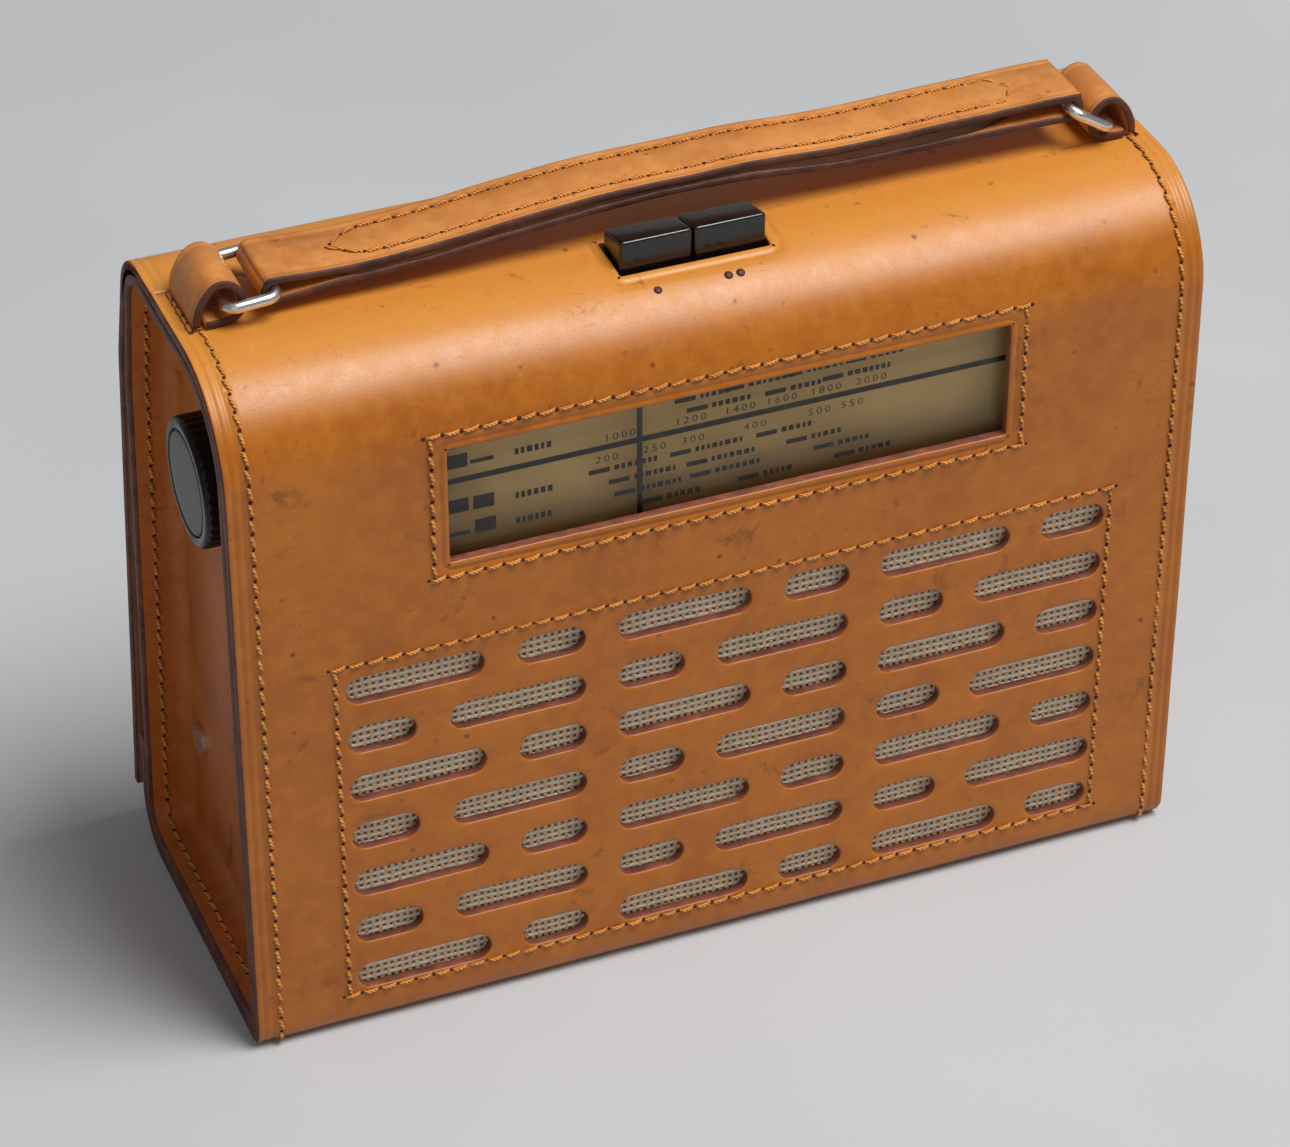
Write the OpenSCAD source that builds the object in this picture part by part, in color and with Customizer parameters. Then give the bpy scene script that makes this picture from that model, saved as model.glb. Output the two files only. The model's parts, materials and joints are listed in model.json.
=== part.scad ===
// Leather portable radio: a sewn leather case with a rear flap, and the radio set inside it.
// X runs along the case, +Y to the back, +Z up; the origin is under the middle of the case.

/* [Case] */
// Overall width of the leather case
case_w = 260; // [256:1:268]
// Depth over the front and the lower edge of the rear flap
case_d = 108; // [106:1:114]
// Height of the flat leather top
case_h = 198.5; // [197:0.5:204]
// Thickness of the case leather
leather = 3.2; // [2.8:0.1:3.4]
// Radius of the bend between the front and the top
front_bend = 28; // [26:1:29]
// Height of the sewn lip at the back
lip_h = 35; // [32:1:42]
// Depth of the dished end panels
dish_depth = 12.5; // [12.5:0.1:14]
// Play between a press stud and its cap, in radius
stud_clearance = 0.8; // [0.6:0.1:1]

/* [Grille] */
// Rows of slots
slot_rows = 7; // [3:1:7]
// Length of the long slots
slot_long = 36.3; // [30:0.1:36.3]
// Length of the short slots
slot_short = 18; // [12:0.1:18]
// Height of a slot
slot_h = 8; // [5:0.5:10]
// Distance between rows
row_pitch = 15.2; // [12:0.1:15.2]

/* [Dial] */
// Width of the dial window
window_w = 150; // [120:1:152]
// Height of the dial window
window_h = 32.8; // [28:0.2:34]
// Place of the pointer along the dial
pointer_x = -21.5; // [-33:0.5:48]

/* [Keys and knobs] */
// Width of one push key
key_w = 19.2; // [16:0.1:19.2]
// How far a key goes down
key_travel = 4; // [2:0.5:4]
// Radius of the knobs
knob_r = 16.8; // [14:0.1:18]
// Flutes round a knob
flutes = 36; // [18:1:48]

/* [Handle] */
// Width of the carrying strap
strap_w = 20; // [16:0.5:20]
// Thickness of one strap ply
ply = 1.9; // [1.6:0.1:1.9]
// Thickness of the ring wire
ring_wire = 3; // [2.5:0.1:3]

/* [Inside] */
// Radius of the loudspeaker
speaker_r = 52; // [44:1:52]
// Radius of a battery cell
cell_r = 16.4; // [14:0.1:16.4]
// Length of the ferrite rod
rod_len = 200; // [160:1:200]

/* [Hidden] */
$fn = 64;

half_w = case_w / 2;
front = -case_d / 2;
back = case_d / 2;
touch = 0.05;          // gap between pieces that are sewn or screwed together
air = 0.35;            // gap between pieces that move past each other

// Corners of the case outline in the YZ plane, each [y, z, outer radius], round it from the front.
base_bend = 6;
back_bend = 14;
top_bend = 16;
case_corners = [
    [front + base_bend, base_bend, base_bend],
    [back - 22.4, back_bend, back_bend],
    [back - 39.3, case_h - 44, 20],
    [back - 40.8, case_h - top_bend, top_bend],
    [front + front_bend, case_h - front_bend, front_bend]];
// The flap's outer face continues the top, bends down and ends proud of the lip.
flap_t = leather - 0.3;
flap_edge_z = 12;
flap_corners = [
    [front + 20, 0, 5],
    [back - 3.65, 0.5, 5],
    [back - 37.6, case_h - 41.5, 20],
    [back - 40.8, case_h - top_bend, top_bend],
    [front + 20, case_h - 5, 5]];
hinge_y = 8;
flap_slope = 6.85;     // lean of the flap's straight part
lip_slope = 4.4;       // lean of the lip

panel_x = half_w - dish_depth;            // outer face of the dished end panel
ear_x = panel_x - leather - 2 * touch;    // outer face of the chassis ears
sheet = 1.2;

// Grille: each row repeats long and short slots with equal gaps.
slot_gap = 9;
slot_start = -102.2;
slots_per_row = 6;
top_row_z = 107.3;

window_x = 1;
window_z = 155.9;
cloth_y = front + leather + touch;
cloth_t = 0.8;
baffle_y = cloth_y + cloth_t + touch;
baffle_t = 4;
baffle_back = baffle_y + baffle_t + touch;
glass_y = front + leather + 0.4;
glass_t = 1.5;
plate_y = front + 11;
dial_half = window_w / 2 + 6;
rail_y = front + 7.7;
rail_z = 179.8;
shelf_z = 122;
shelf_top = shelf_z + sheet;

knob_y = front + 33.9;
knob_z = 156;
knob_t = 11.7;
shaft_r = 3;
drum_r = 27;
drum_x = 104;
drum_t = 5;
cord_r = 0.4;

key_front = front + 22.4;
key_depth = 11.5;
key_mid = -1;
key_gap = 0.3;
key_top = 205.8;
key_drop = 2.6;
key_base = 193;
switch_top = key_base - key_travel - 1;

handle_y = front + 43.4;
bracket_w = 20.2;
loop_r = 7;
loop_hole = 4.2;
loop_z = case_h + 5.7;
ring_len = 13;         // between the two bar centres
ring_span = 24;        // between the two side wires
ring_corner = 3;
left_bar = [-117.5, loop_z];
left_pin = [-104.54, loop_z + 1];
right_bar = [117.5, loop_z - 1];
right_pin = [106.5, case_h + 11.7];
pin_hole = ring_wire / 2 + 0.4;

board_z = 127;
board_t = 1.6;
board_top = board_z + board_t;
board_x0 = -96;
board_x1 = 56;
speaker_x = -50;
speaker_z = 62;
box_x0 = 2.5;
box_x1 = 106.5;
box_y0 = -33;
box_y1 = 36;
box_z0 = 5;
box_z1 = 76;
box_wall = 1.6;
cell_pitch = 33.4;
cell_h = 60;
rod_y = 10;
rod_z = 183;
rod_r = 5;
screw_y = 26;
screw_z = 41.5;
stud_x = 80;
stud_z = 24;

// ---- shared geometry ----

// Outward normal of the line that touches two round corners.
function touch_normal(a, b) =
    let (d = [b[0] - a[0], b[1] - a[1]], l = norm(d), s = (a[2] - b[2]) / l, c = sqrt(1 - s * s))
    [d[1] * c + d[0] * s, -d[0] * c + d[1] * s] / l;

// A leaning wall meets its round corners a hair inside their tangent, for a clean edge.
function wall_lap(m) = min(abs(m[0]), abs(m[1])) < 0.001 ? 0 : 0.01;

// Two points for a round corner, or one where the inset has used up its radius.
function corner_points(c, r, m, n) = r > 0
    ? [c + (r - wall_lap(m)) * m, c + (r - wall_lap(n)) * n]
    : [c + r * (m + n) / (1 + m * n)];

function touch_points(corners, inset) = [for (i = [0 : len(corners) - 1])
    let (p = corners[i], n = len(corners), before = corners[(i + n - 1) % n],
         after = corners[(i + 1) % n])
    each corner_points([p[0], p[1]], p[2] - inset, touch_normal(before, p), touch_normal(p, after))];

// Closed outline through round corners, shrunk by the inset.
module outline(corners, inset) {
    polygon(touch_points(corners, inset));
    for (c = corners)
        if (c[2] > inset) translate([c[0], c[1]]) circle(c[2] - inset);
}

module span_x(x0, x1) translate([x0, 0, 0]) rotate([90, 0, 90]) linear_extrude(x1 - x0) children();
module span_y(mid, w) translate([0, mid + w / 2, 0]) rotate([90, 0, 0]) linear_extrude(w) children();
module box(lo, hi) translate(lo) cube(hi - lo);
module rod_x(x0, x1, y, z, r) translate([x0, y, z]) rotate([0, 90, 0]) cylinder(h = x1 - x0, r = r);
module rod_y(y0, y1, x, z, r) translate([x, y0, z]) rotate([-90, 0, 0]) cylinder(h = y1 - y0, r = r);
module both_ends() for (s = [0, 1]) mirror([s, 0, 0]) children();

module cord_run(p, q) {
    d = q - p;
    translate(p) rotate([0, acos(d[2] / norm(d)), atan2(d[1], d[0])])
        cylinder(h = norm(d), r = cord_r, $fn = 16);
}

// ---- leather case ----

module slot(w) {
    translate([slot_h / 2, 0]) circle(slot_h / 2);
    translate([w - slot_h / 2, 0]) circle(slot_h / 2);
    translate([slot_h / 2, -slot_h / 2]) square([w - slot_h, slot_h]);
}

module slot_row(long_first) {
    pair = slot_long + slot_short + 2 * slot_gap;
    for (i = [0 : slots_per_row - 1]) {
        is_long = (i % 2 == 0) == long_first;
        offset_in_pair = i % 2 == 0 ? 0 : (long_first ? slot_long : slot_short) + slot_gap;
        translate([slot_start + floor(i / 2) * pair + offset_in_pair, 0])
            slot(is_long ? slot_long : slot_short);
    }
}

module front_cuts() {
    for (r = [0 : slot_rows - 1]) translate([0, top_row_z - r * row_pitch]) slot_row(r % 2 == 0);
    translate([window_x - window_w / 2, window_z - window_h / 2]) square([window_w, window_h]);
}

module leather_wrap() color("#c87a35") difference() {
    span_x(-half_w, half_w) difference() {
        outline(case_corners, 0);
        outline(case_corners, leather);
        translate([hinge_y, lip_h]) square([case_d, case_h]);
    }
    span_y(front + leather / 2, leather + 2) front_cuts();
    box([key_mid - key_w - 0.8, key_front - 1.5, 185],
        [key_mid + key_w + 0.8, key_front + key_depth + 2, 215]);
    for (x = [-stud_x, stud_x]) rod_y(back - 18, back, x, stud_z, 2.4);
}

module end_panel() {
    difference() {
        span_x(-half_w, -panel_x + leather) outline(case_corners, leather + touch);
        span_x(-half_w - 1, -panel_x) outline(case_corners, 2 * leather + touch);
        rod_x(-half_w, -ear_x, knob_y, knob_z, 5.5);
        rod_x(-half_w, -ear_x, screw_y, screw_z, 2.2);
    }
}

module left_gusset() color("#b5672c") end_panel();
module right_gusset() color("#b5672c") mirror([1, 0, 0]) end_panel();

// Strap loop sewn to the top seam, bent round the outer bar of the ring.
module bracket() span_y(handle_y, bracket_w) intersection() {
    difference() {
        union() {
            translate([left_bar[0], loop_z]) circle(loop_r);
            polygon([[-half_w + 2, case_h], [-half_w + 2, case_h + 2], [-half_w + 7, loop_z + 3],
                [left_bar[0], loop_z], [left_bar[0] + 9, case_h + 2], [left_bar[0] + 10, case_h]]);
        }
        translate([left_bar[0], loop_z]) circle(loop_hole);
    }
    translate([-half_w, case_h + touch]) square([30, 20]);
}

module left_handle_bracket() color("#b9692e") bracket();
module right_handle_bracket() color("#b9692e") mirror([1, 0, 0]) bracket();

module case_screws() color("#c9c5ba") both_ends() difference() {
    union() {
        rod_x(-panel_x - 1.6, -panel_x - touch, screw_y, screw_z, 4.5);
        rod_x(-panel_x - 0.5, -ear_x + sheet + 4.5, screw_y, screw_z, 1.9);
    }
    box([-panel_x - 2, screw_y - 4, screw_z - 0.5], [-panel_x - 1, screw_y + 4, screw_z + 0.5]);
}

module case_nuts() color("#a8a49a") both_ends() difference() {
    translate([-ear_x + sheet + touch, screw_y, screw_z]) rotate([0, 90, 0])
        cylinder(h = 3, r = 4, $fn = 6);
    rod_x(-ear_x, -ear_x + 6, screw_y, screw_z, 1.95);
}

// Press studs: the post stands on the lip and the cap is riveted through the flap.
module stud_posts() color("#b9b4a6") for (x = [-stud_x, stud_x])
    translate([x, back - 9.15, stud_z]) rotate([lip_slope, 0, 0]) {
        rod_y(touch, 1, 0, 0, 5.5);
        rod_y(-leather - 0.9, 3.2, 0, 0, 2);
        rod_y(-leather - 0.9, -leather - touch, 0, 0, 4.5);
    }

module stud_caps() color("#b9b4a6") for (x = [-stud_x, stud_x])
    translate([x, back - 1.45, stud_z]) rotate([flap_slope, 0, 0]) {
        rod_y(touch, 0.7, 0, 0, 5.5);
        rod_y(-flap_t - 0.6, touch + 0.1, 0, 0, 1.8);
        difference() {
            rod_y(-flap_t - 3, -flap_t - touch, 0, 0, 5.5);
            rod_y(-flap_t - 4, -flap_t - 0.5, 0, 0, 2.2 + stud_clearance);
        }
    }

module back_flap() color("#c0712f") difference() {
    span_x(-half_w, half_w) intersection() {
        difference() {
            outline(flap_corners, 0);
            outline(flap_corners, flap_t);
        }
        translate([hinge_y + air, flap_edge_z]) square([case_d, case_h]);
    }
    for (x = [-stud_x, stud_x]) rod_y(back - 12, back + 1, x, stud_z, 2.3);
}

// ---- handle ----

module bar_end(turn) rotate([0, 0, turn]) rotate_extrude(angle = 90)
    translate([ring_corner, 0]) circle(ring_wire / 2, $fn = 24);

// Wire ring from the bar at p to the bar at q.
module wire_ring(p, q) translate([p[0], handle_y, p[1]])
    rotate([0, -atan2(q[1] - p[1], q[0] - p[0]), 0]) {
        reach = ring_span / 2 - ring_corner;
        for (x = [0, ring_len]) rod_y(-reach, reach, x, 0, ring_wire / 2);
        for (y = [-1, 1]) rod_x(ring_corner, ring_len - ring_corner, y * ring_span / 2, 0,
            ring_wire / 2);
        for (c = [[ring_corner, -reach, 180], [ring_len - ring_corner, -reach, 270],
                  [ring_len - ring_corner, reach, 0], [ring_corner, reach, 90]])
            translate([c[0], c[1], 0]) bar_end(c[2]);
    }

module left_ring() color("#c9c9c6") wire_ring(left_bar, left_pin);
module right_ring() color("#c9c9c6") wire_ring(right_bar, right_pin);

// Edges of the strap in the XZ plane, by height above the case top.
strap_over = [[-88, 9.7], [-66, 10.7], [-44, 12.9], [-22, 14.8], [0, 15.1], [20, 15.5],
    [46, 14.3], [78, 15.1]];
strap_under = [[84, 8.3], [62, 8.1], [44, 8.2], [20, 10.2], [0, 10.6], [-22, 9.7], [-44, 7.7],
    [-66, 5.6], [-88, 4.5]];

function arc(c, r, a0, a1) = [for (i = [0 : 20]) c + r * [cos(a0 + (a1 - a0) * i / 20),
    sin(a0 + (a1 - a0) * i / 20)]];

module strap_shape(inset) {
    end_r = pin_hole + ply - inset;
    polygon(concat(
        arc(left_pin, end_r, 270, 90),
        [for (p = strap_over) [p[0], case_h + p[1] - inset]],
        arc(right_pin, end_r, 90, -90),
        [for (p = strap_under) [p[0], case_h + p[1] + inset]]));
}

module handle_strap() color("#c17432") span_y(handle_y, strap_w) difference() {
    strap_shape(0);
    strap_shape(ply);
}

module handle_core() color("#7a3f22") span_y(handle_y, strap_w - 0.4) intersection() {
    strap_shape(ply + touch);
    translate([-84, case_h]) square([168, 20]);
}

// ---- front of the set ----

module grille_cloth() color("#a8957c")
    box([-109, cloth_y, 7], [109, cloth_y + cloth_t, 119]);

module baffle_board() color("#6b5236") difference() {
    box([-112, baffle_y, 4.5], [112, baffle_y + baffle_t, shelf_z - touch]);
    rod_y(baffle_y - 1, baffle_back, speaker_x, speaker_z, speaker_r - 6);
    for (a = [45 : 90 : 315])
        rod_y(baffle_y - 1, baffle_back, speaker_x + (speaker_r - 3) * cos(a),
            speaker_z + (speaker_r - 3) * sin(a), 1.6);
}

module dial_glass() color("#cfd2c8", 0.35)
    box([window_x - dial_half + 1, glass_y, window_z - 20],
        [window_x + dial_half - 1, glass_y + glass_t, window_z + 18]);

module dial_plate() color("#8f8355")
    box([window_x - dial_half - 2, plate_y, shelf_top + touch],
        [window_x + dial_half + 2, plate_y + 1, 178]);

module dial_cheeks() color("#242220") for (s = [-1, 1]) difference() {
    union() {
        translate([window_x + s * (dial_half + 1), 0, 0]) {
            box([-1, glass_y + glass_t + touch, shelf_top + touch], [1, plate_y - touch, 178.5]);
            box([-1, front + 6.4, 178], [1, plate_y - touch, 181.8]);
        }
    }
    rod_x(window_x - dial_half - 3, window_x + dial_half + 3, rail_y, rail_z, 1.02);
}

module dial_pointer() color("#1f1e1c") difference() {
    union() {
        box([pointer_x - 0.6, rail_y - 1, 126], [pointer_x + 0.6, rail_y - 0.2, rail_z - 1.8]);
        box([pointer_x - 6, rail_y - 1.5, rail_z - 2], [pointer_x + 6, rail_y + 1.5, rail_z + 2]);
    }
    rod_x(pointer_x - 7, pointer_x + 7, rail_y, rail_z, 1.05);
}

module pointer_rail() color("#c4c4c4")
    rod_x(window_x - dial_half - 2, window_x + dial_half + 2, rail_y, rail_z, 1);

// ---- tuning ----

left_post = [-88, front + 10.75];
right_post_x = drum_x - 1;
cord_z = rail_z + 2.8;
post_r = 1.8;

module cord_guides() color("#b0aca2") {
    box([-ear_x + sheet + touch, left_post[1] - 1.4, 177], [-86, left_post[1] + 1.4, 178.5]);
    translate([left_post[0], left_post[1], 178]) cylinder(h = 6, r = post_r);
    rod_y(front + 7, front + 16, right_post_x, rail_z + 0.4, post_r);
    box([right_post_x - 1, front + 13.8, rail_z - 0.6],
        [ear_x - sheet - touch, front + 16, rail_z + 1.4]);
}

module drive_cord() color("#3a352c") {
    y_front = left_post[1] - post_r - cord_r - touch;
    y_back = left_post[1] + post_r + cord_r + touch;
    x_turn = right_post_x + post_r + cord_r + 0.2;
    x_down = drum_x + drum_t / 2;
    cord_run([left_post[0], y_front, cord_z], [x_turn, y_front, cord_z]);
    cord_run([left_post[0], y_back, cord_z], [x_turn, y_back, cord_z]);
    cord_run([x_turn, y_front, cord_z], [x_down, knob_y - drum_r, knob_z]);
    cord_run([x_turn, y_back, cord_z], [x_down, y_back, knob_z + 17]);
}

module drive_drum() color("#d8d2bd") difference() {
    union() {
        rod_x(drum_x, drum_x + 1.2, knob_y, knob_z, drum_r);
        rod_x(drum_x + 1, drum_x + 4, knob_y, knob_z, drum_r - 1.2);
        rod_x(drum_x + 3.8, drum_x + drum_t, knob_y, knob_z, drum_r);
    }
    rod_x(drum_x - 1, drum_x + drum_t + 1, knob_y, knob_z, shaft_r + 0.02);
    for (a = [0 : 60 : 300])
        rod_x(drum_x - 1, drum_x + drum_t + 1, knob_y + 15 * cos(a), knob_z + 15 * sin(a), 4.5);
}

module tuning_shaft() color("#c9c9c6") rod_x(66, half_w - 3, knob_y, knob_z, shaft_r);

// Knob at the left end: face flush with the case edge, fluted side, shallow seat for the disc.
module knob() difference() {
    union() {
        rod_x(-half_w, -half_w + 2, knob_y, knob_z, knob_r);
        span_x(-half_w + 1.5, -half_w + knob_t) translate([knob_y, knob_z]) difference() {
            circle(knob_r - 0.1);
            for (i = [0 : flutes - 1]) rotate(i * 360 / flutes) translate([knob_r, 0])
                circle(0.6, $fn = 16);
        }
    }
    rod_x(-half_w - 1, -half_w + 0.9, knob_y, knob_z, knob_r - 3.4);
    rod_x(-half_w + 2.4, -half_w + knob_t + 1, knob_y, knob_z, shaft_r + 0.02);
}

module knob_disc() rod_x(-half_w, -half_w + 0.8, knob_y, knob_z, knob_r - 3.6);

module tuning_knob() color("#1b1a19") mirror([1, 0, 0]) knob();
module tuning_knob_disc() color("#9a9992") mirror([1, 0, 0]) knob_disc();
module volume_knob() color("#1b1a19") knob();
module volume_knob_disc() color("#9a9992") knob_disc();

vane_x0 = 71;
vane_pitch = 4;
vane_count = 6;
vane_t = 0.8;
vane_r = 14;
frame_x0 = 67;
frame_x1 = 98;

module tuning_capacitor() color("#b7b5ae") difference() {
    union() {
        for (x = [frame_x0, frame_x1 - 1.5])
            box([x, knob_y - 16, shelf_top + touch], [x + 1.5, knob_y + 20, knob_z + 18]);
        box([frame_x0, knob_y - 16, shelf_top + touch], [frame_x1, knob_y + 20, shelf_top + 1.6]);
    }
    rod_x(frame_x0 - 1, frame_x1 + 1, knob_y, knob_z, shaft_r + touch);
}

module stator_plates() color("#cfc9b4") {
    for (i = [0 : vane_count - 2]) {
        x = vane_x0 + vane_pitch / 2 + i * vane_pitch;
        box([x, knob_y + 4.5, knob_z - 15], [x + vane_t, knob_y + 17.5, knob_z + 15]);
    }
    box([frame_x0 + 1.5 + touch, knob_y + 16, knob_z - 3],
        [frame_x1 - 1.5 - touch, knob_y + 19, knob_z + 3]);
}

module rotor_vanes() color("#d8d2bd") difference() {
    union() {
        for (i = [0 : vane_count - 1])
            span_x(vane_x0 + i * vane_pitch, vane_x0 + i * vane_pitch + vane_t)
                intersection() {
                    translate([knob_y, knob_z]) circle(vane_r);
                    translate([knob_y - vane_r, knob_z - vane_r - 2]) square([2 * vane_r, vane_r + 5]);
                }
        rod_x(vane_x0 - 1, vane_x0 + (vane_count - 1) * vane_pitch + 1.8, knob_y, knob_z, shaft_r + 1.2);
    }
    rod_x(frame_x0, frame_x1, knob_y, knob_z, shaft_r + 0.02);
}

// ---- volume ----

module volume_control() color("#8b8880") difference() {
    union() {
        rod_x(-ear_x + sheet + touch, -ear_x + sheet + 13, knob_y, knob_z, 12);
        rod_x(-panel_x + 0.6, -ear_x + sheet + 1, knob_y, knob_z, 4.8);
    }
    rod_x(-half_w, -ear_x + sheet + 9, knob_y, knob_z, shaft_r + touch);
}

module volume_shaft() color("#c9c9c6") rod_x(-half_w + 3, -ear_x + sheet + 8, knob_y, knob_z, shaft_r);

// ---- push keys ----

module key(x0) {
    round = 1.2;
    span_x(x0, x0 + key_w) {
        polygon([[key_front, key_base], [key_front + key_depth, key_base],
            [key_front + key_depth, key_top - key_drop],
            [key_front + round, key_top], [key_front, key_top - round]]);
        translate([key_front + round, key_top - round]) circle(round);
    }
    box([x0 + key_w / 2 - 3, key_front + 3, switch_top - 10],
        [x0 + key_w / 2 + 3, key_front + 8, key_base + 0.1]);
}

module left_key() color("#141312") key(key_mid - key_gap / 2 - key_w);
module right_key() color("#141312") key(key_mid + key_gap / 2);

module key_switch() color("#3c3a34") difference() {
    union() {
        box([key_mid - key_w - 3, key_front - 2, switch_top - 16],
            [key_mid + key_w + 3, key_front + key_depth + 2, switch_top]);
        for (x = [key_mid - key_w - 3, key_mid + key_w + 1])
            box([x, key_front + 4, board_top + touch], [x + 2, key_front + 8, switch_top - 15]);
    }
    for (s = [-1, 1]) translate([key_mid + s * (key_w + key_gap) / 2, 0, 0])
        box([-3 - air, key_front + 3 - air, switch_top - 20], [3 + air, key_front + 8 + air, 200]);
}

// ---- loudspeaker ----

module cone_shell(r1, r2, h, t) rotate([-90, 0, 0]) difference() {
    cylinder(h = h, r1 = r1, r2 = r2);
    translate([0, 0, -0.01]) cylinder(h = h + 0.02, r1 = r1 - t, r2 = r2 - t);
}

module at_speaker() translate([speaker_x, baffle_back, speaker_z]) children();

module speaker_basket() color("#4b4a46") at_speaker() difference() {
    union() {
        difference() {
            rod_y(0, 1.6, 0, 0, speaker_r);
            rod_y(-1, 3, 0, 0, speaker_r - 6.5);
        }
        translate([0, 1.2, 0]) cone_shell(speaker_r - 4, 20, 24, 2);
        difference() {
            rod_y(24, 26, 0, 0, 21);
            rod_y(23, 27, 0, 0, 11);
        }
    }
    for (a = [0 : 90 : 270]) rotate([0, a, 0]) box([-12, 6, 10], [12, 21, 60]);
    for (a = [45 : 90 : 315])
        translate([(speaker_r - 3) * cos(a), 0, (speaker_r - 3) * sin(a)]) {
            rod_y(-1, 3, 0, 0, 1.6);
            rod_y(1.6, 6, 0, 0, 3.1);
        }
}

module speaker_cone() color("#2b2622") at_speaker() {
    translate([0, 0.2, 0]) cone_shell(speaker_r - 6.8, 10.5, 19, 1);
    rod_y(18, 19.2, 0, 0, 10.4);
}

module speaker_magnet() color("#77736a") at_speaker() {
    rod_y(26 + touch, 38, 0, 0, 22);
    rod_y(37, 41, 0, 0, 17);
    rod_y(20, 27, 0, 0, 10);
}

module speaker_screws() color("#c9b26a") at_speaker() for (a = [45 : 90 : 315])
    translate([(speaker_r - 3) * cos(a), 0, (speaker_r - 3) * sin(a)]) {
        rod_y(-3.5, 1.8, 0, 0, 1.5);
        rod_y(1.6 + touch, 3.2, 0, 0, 2.8);
    }

// ---- chassis and electronics ----

ear_shape = [[front + 10, 6], [28, 6], [33, 20], [31, 60], [22, 176], [14, 188], [-28, 188],
    [front + 10, 172]];

module chassis_frame() color("#a9a698") {
    box([-ear_x + 0.2, front + 10, shelf_z], [ear_x - 0.2, 22, shelf_top]);
    both_ends() difference() {
        span_x(-ear_x, -ear_x + sheet) polygon(ear_shape);
        rod_x(-ear_x - 1, -ear_x + 2, knob_y, knob_z, 5.2);
        rod_x(-ear_x - 1, -ear_x + 2, screw_y, screw_z, 2.1);
    }
}

module circuit_board() color("#8a5a2a") difference() {
    box([board_x0, plate_y + 3, board_z], [board_x1, 18, board_top]);
    for (x = [board_x0 + 6, board_x1 - 6], y = [plate_y + 8, 13])
        translate([x, y, board_z - 1]) cylinder(h = 4, r = 1.5);
}

module board_pillars() color("#c9b26a") for (x = [board_x0 + 6, board_x1 - 6], y = [plate_y + 8, 13])
    translate([x, y, shelf_top + touch]) {
        cylinder(h = board_z - shelf_top - 2 * touch, r = 2.6);
        cylinder(h = board_top - shelf_top + 0.6, r = 1.4);
    }

module intermediate_cans() color("#c3c4c2") for (x = [-38, -6, 26])
    box([x - 5.5, 0, board_top + touch], [x + 5.5, 11, board_top + 19]);

transistor_spots = [[-52, -20], [-30, -24], [8, -24], [40, -22], [12, 8], [-22, 10]];

module transistors() color("#2a2c2e") for (p = transistor_spots)
    translate([p[0], p[1], board_top + touch]) cylinder(h = 9, r = 3);

module electrolytic_capacitors() color("#3d4a66") for (p = [[-62, 9, 24], [-50, -6, 20], [42, 6, 26]])
    translate([p[0], p[1], board_top + touch]) cylinder(h = p[2], r = 5.5);

module resistors() color("#b08a5a") for (i = [0 : 7])
    rod_x(-36 + i * 9.5, -29.5 + i * 9.5, i % 2 == 0 ? -6 : -12, board_top + 1.7, 1.5);

module output_transformer() color("#5a5750") {
    box([-92, -24, board_top + touch], [-70, 2, board_top + 14]);
    box([-89, -19, board_top + 13], [-73, -3, board_top + 18]);
}

module ferrite_rod() color("#3b3a3a") rod_x(-rod_len / 2, rod_len / 2, rod_y, rod_z, rod_r);

module antenna_coils() color("#b5793a") for (x = [[-72, -44], [38, 72]]) difference() {
    rod_x(x[0], x[1], rod_y, rod_z, rod_r + 2);
    rod_x(x[0] - 1, x[1] + 1, rod_y, rod_z, rod_r + touch);
}

module rod_clips() color("#2e2c29") both_ends() difference() {
    union() {
        box([-98, rod_y - 7, rod_z - 8], [-94, rod_y + 6, rod_z + 7]);
        box([-ear_x + sheet + touch, rod_y - 6, rod_z - 9], [-94, rod_y + 4, rod_z - 6]);
    }
    rod_x(-rod_len / 2, rod_len / 2, rod_y, rod_z, rod_r + touch);
}

// ---- batteries ----

module battery_box() color("#57544c") difference() {
    box([box_x0, box_y0, box_z0], [box_x1, box_y1, box_z1]);
    box([box_x0 + box_wall, box_y0 + box_wall, box_z0 + box_wall],
        [box_x1 - box_wall, box_y1 + 1, box_z1 - box_wall]);
}

cell_spots = [for (i = [-1 : 1], j = [0, 1])
    [(box_x0 + box_x1) / 2 + i * cell_pitch, box_y0 + box_wall + 17 + j * cell_pitch]];

module batteries() color("#b23a2e") for (p = cell_spots) translate([p[0], p[1], box_z0 + box_wall + 1]) {
    cylinder(h = cell_h - 1.5, r = cell_r);
    cylinder(h = cell_h, r = 5);
}

module battery_contacts() color("#c9b26a") for (p = cell_spots) translate([p[0], p[1], 0]) {
    box([-6, -6, box_z0 + box_wall + touch], [6, 6, box_z0 + box_wall + 0.9]);
    box([-6, -6, box_z0 + box_wall + cell_h + 1.1], [6, 6, box_z1 - box_wall - touch]);
}

leather_wrap();
left_gusset();
right_gusset();
left_handle_bracket();
right_handle_bracket();
case_screws();
case_nuts();
stud_posts();
back_flap();
stud_caps();
left_ring();
right_ring();
handle_strap();
handle_core();
grille_cloth();
baffle_board();
dial_glass();
dial_plate();
dial_cheeks();
dial_pointer();
pointer_rail();
drive_cord();
cord_guides();
drive_drum();
tuning_shaft();
tuning_knob();
tuning_knob_disc();
tuning_capacitor();
stator_plates();
rotor_vanes();
volume_control();
volume_shaft();
volume_knob();
volume_knob_disc();
left_key();
right_key();
key_switch();
speaker_basket();
speaker_cone();
speaker_magnet();
speaker_screws();
chassis_frame();
circuit_board();
board_pillars();
intermediate_cans();
transistors();
electrolytic_capacitors();
resistors();
output_transformer();
ferrite_rod();
antenna_coils();
rod_clips();
battery_box();
batteries();
battery_contacts();
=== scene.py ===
import json
import math
import random

import bmesh
import bpy
import numpy as np
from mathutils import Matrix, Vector, geometry, noise


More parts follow.
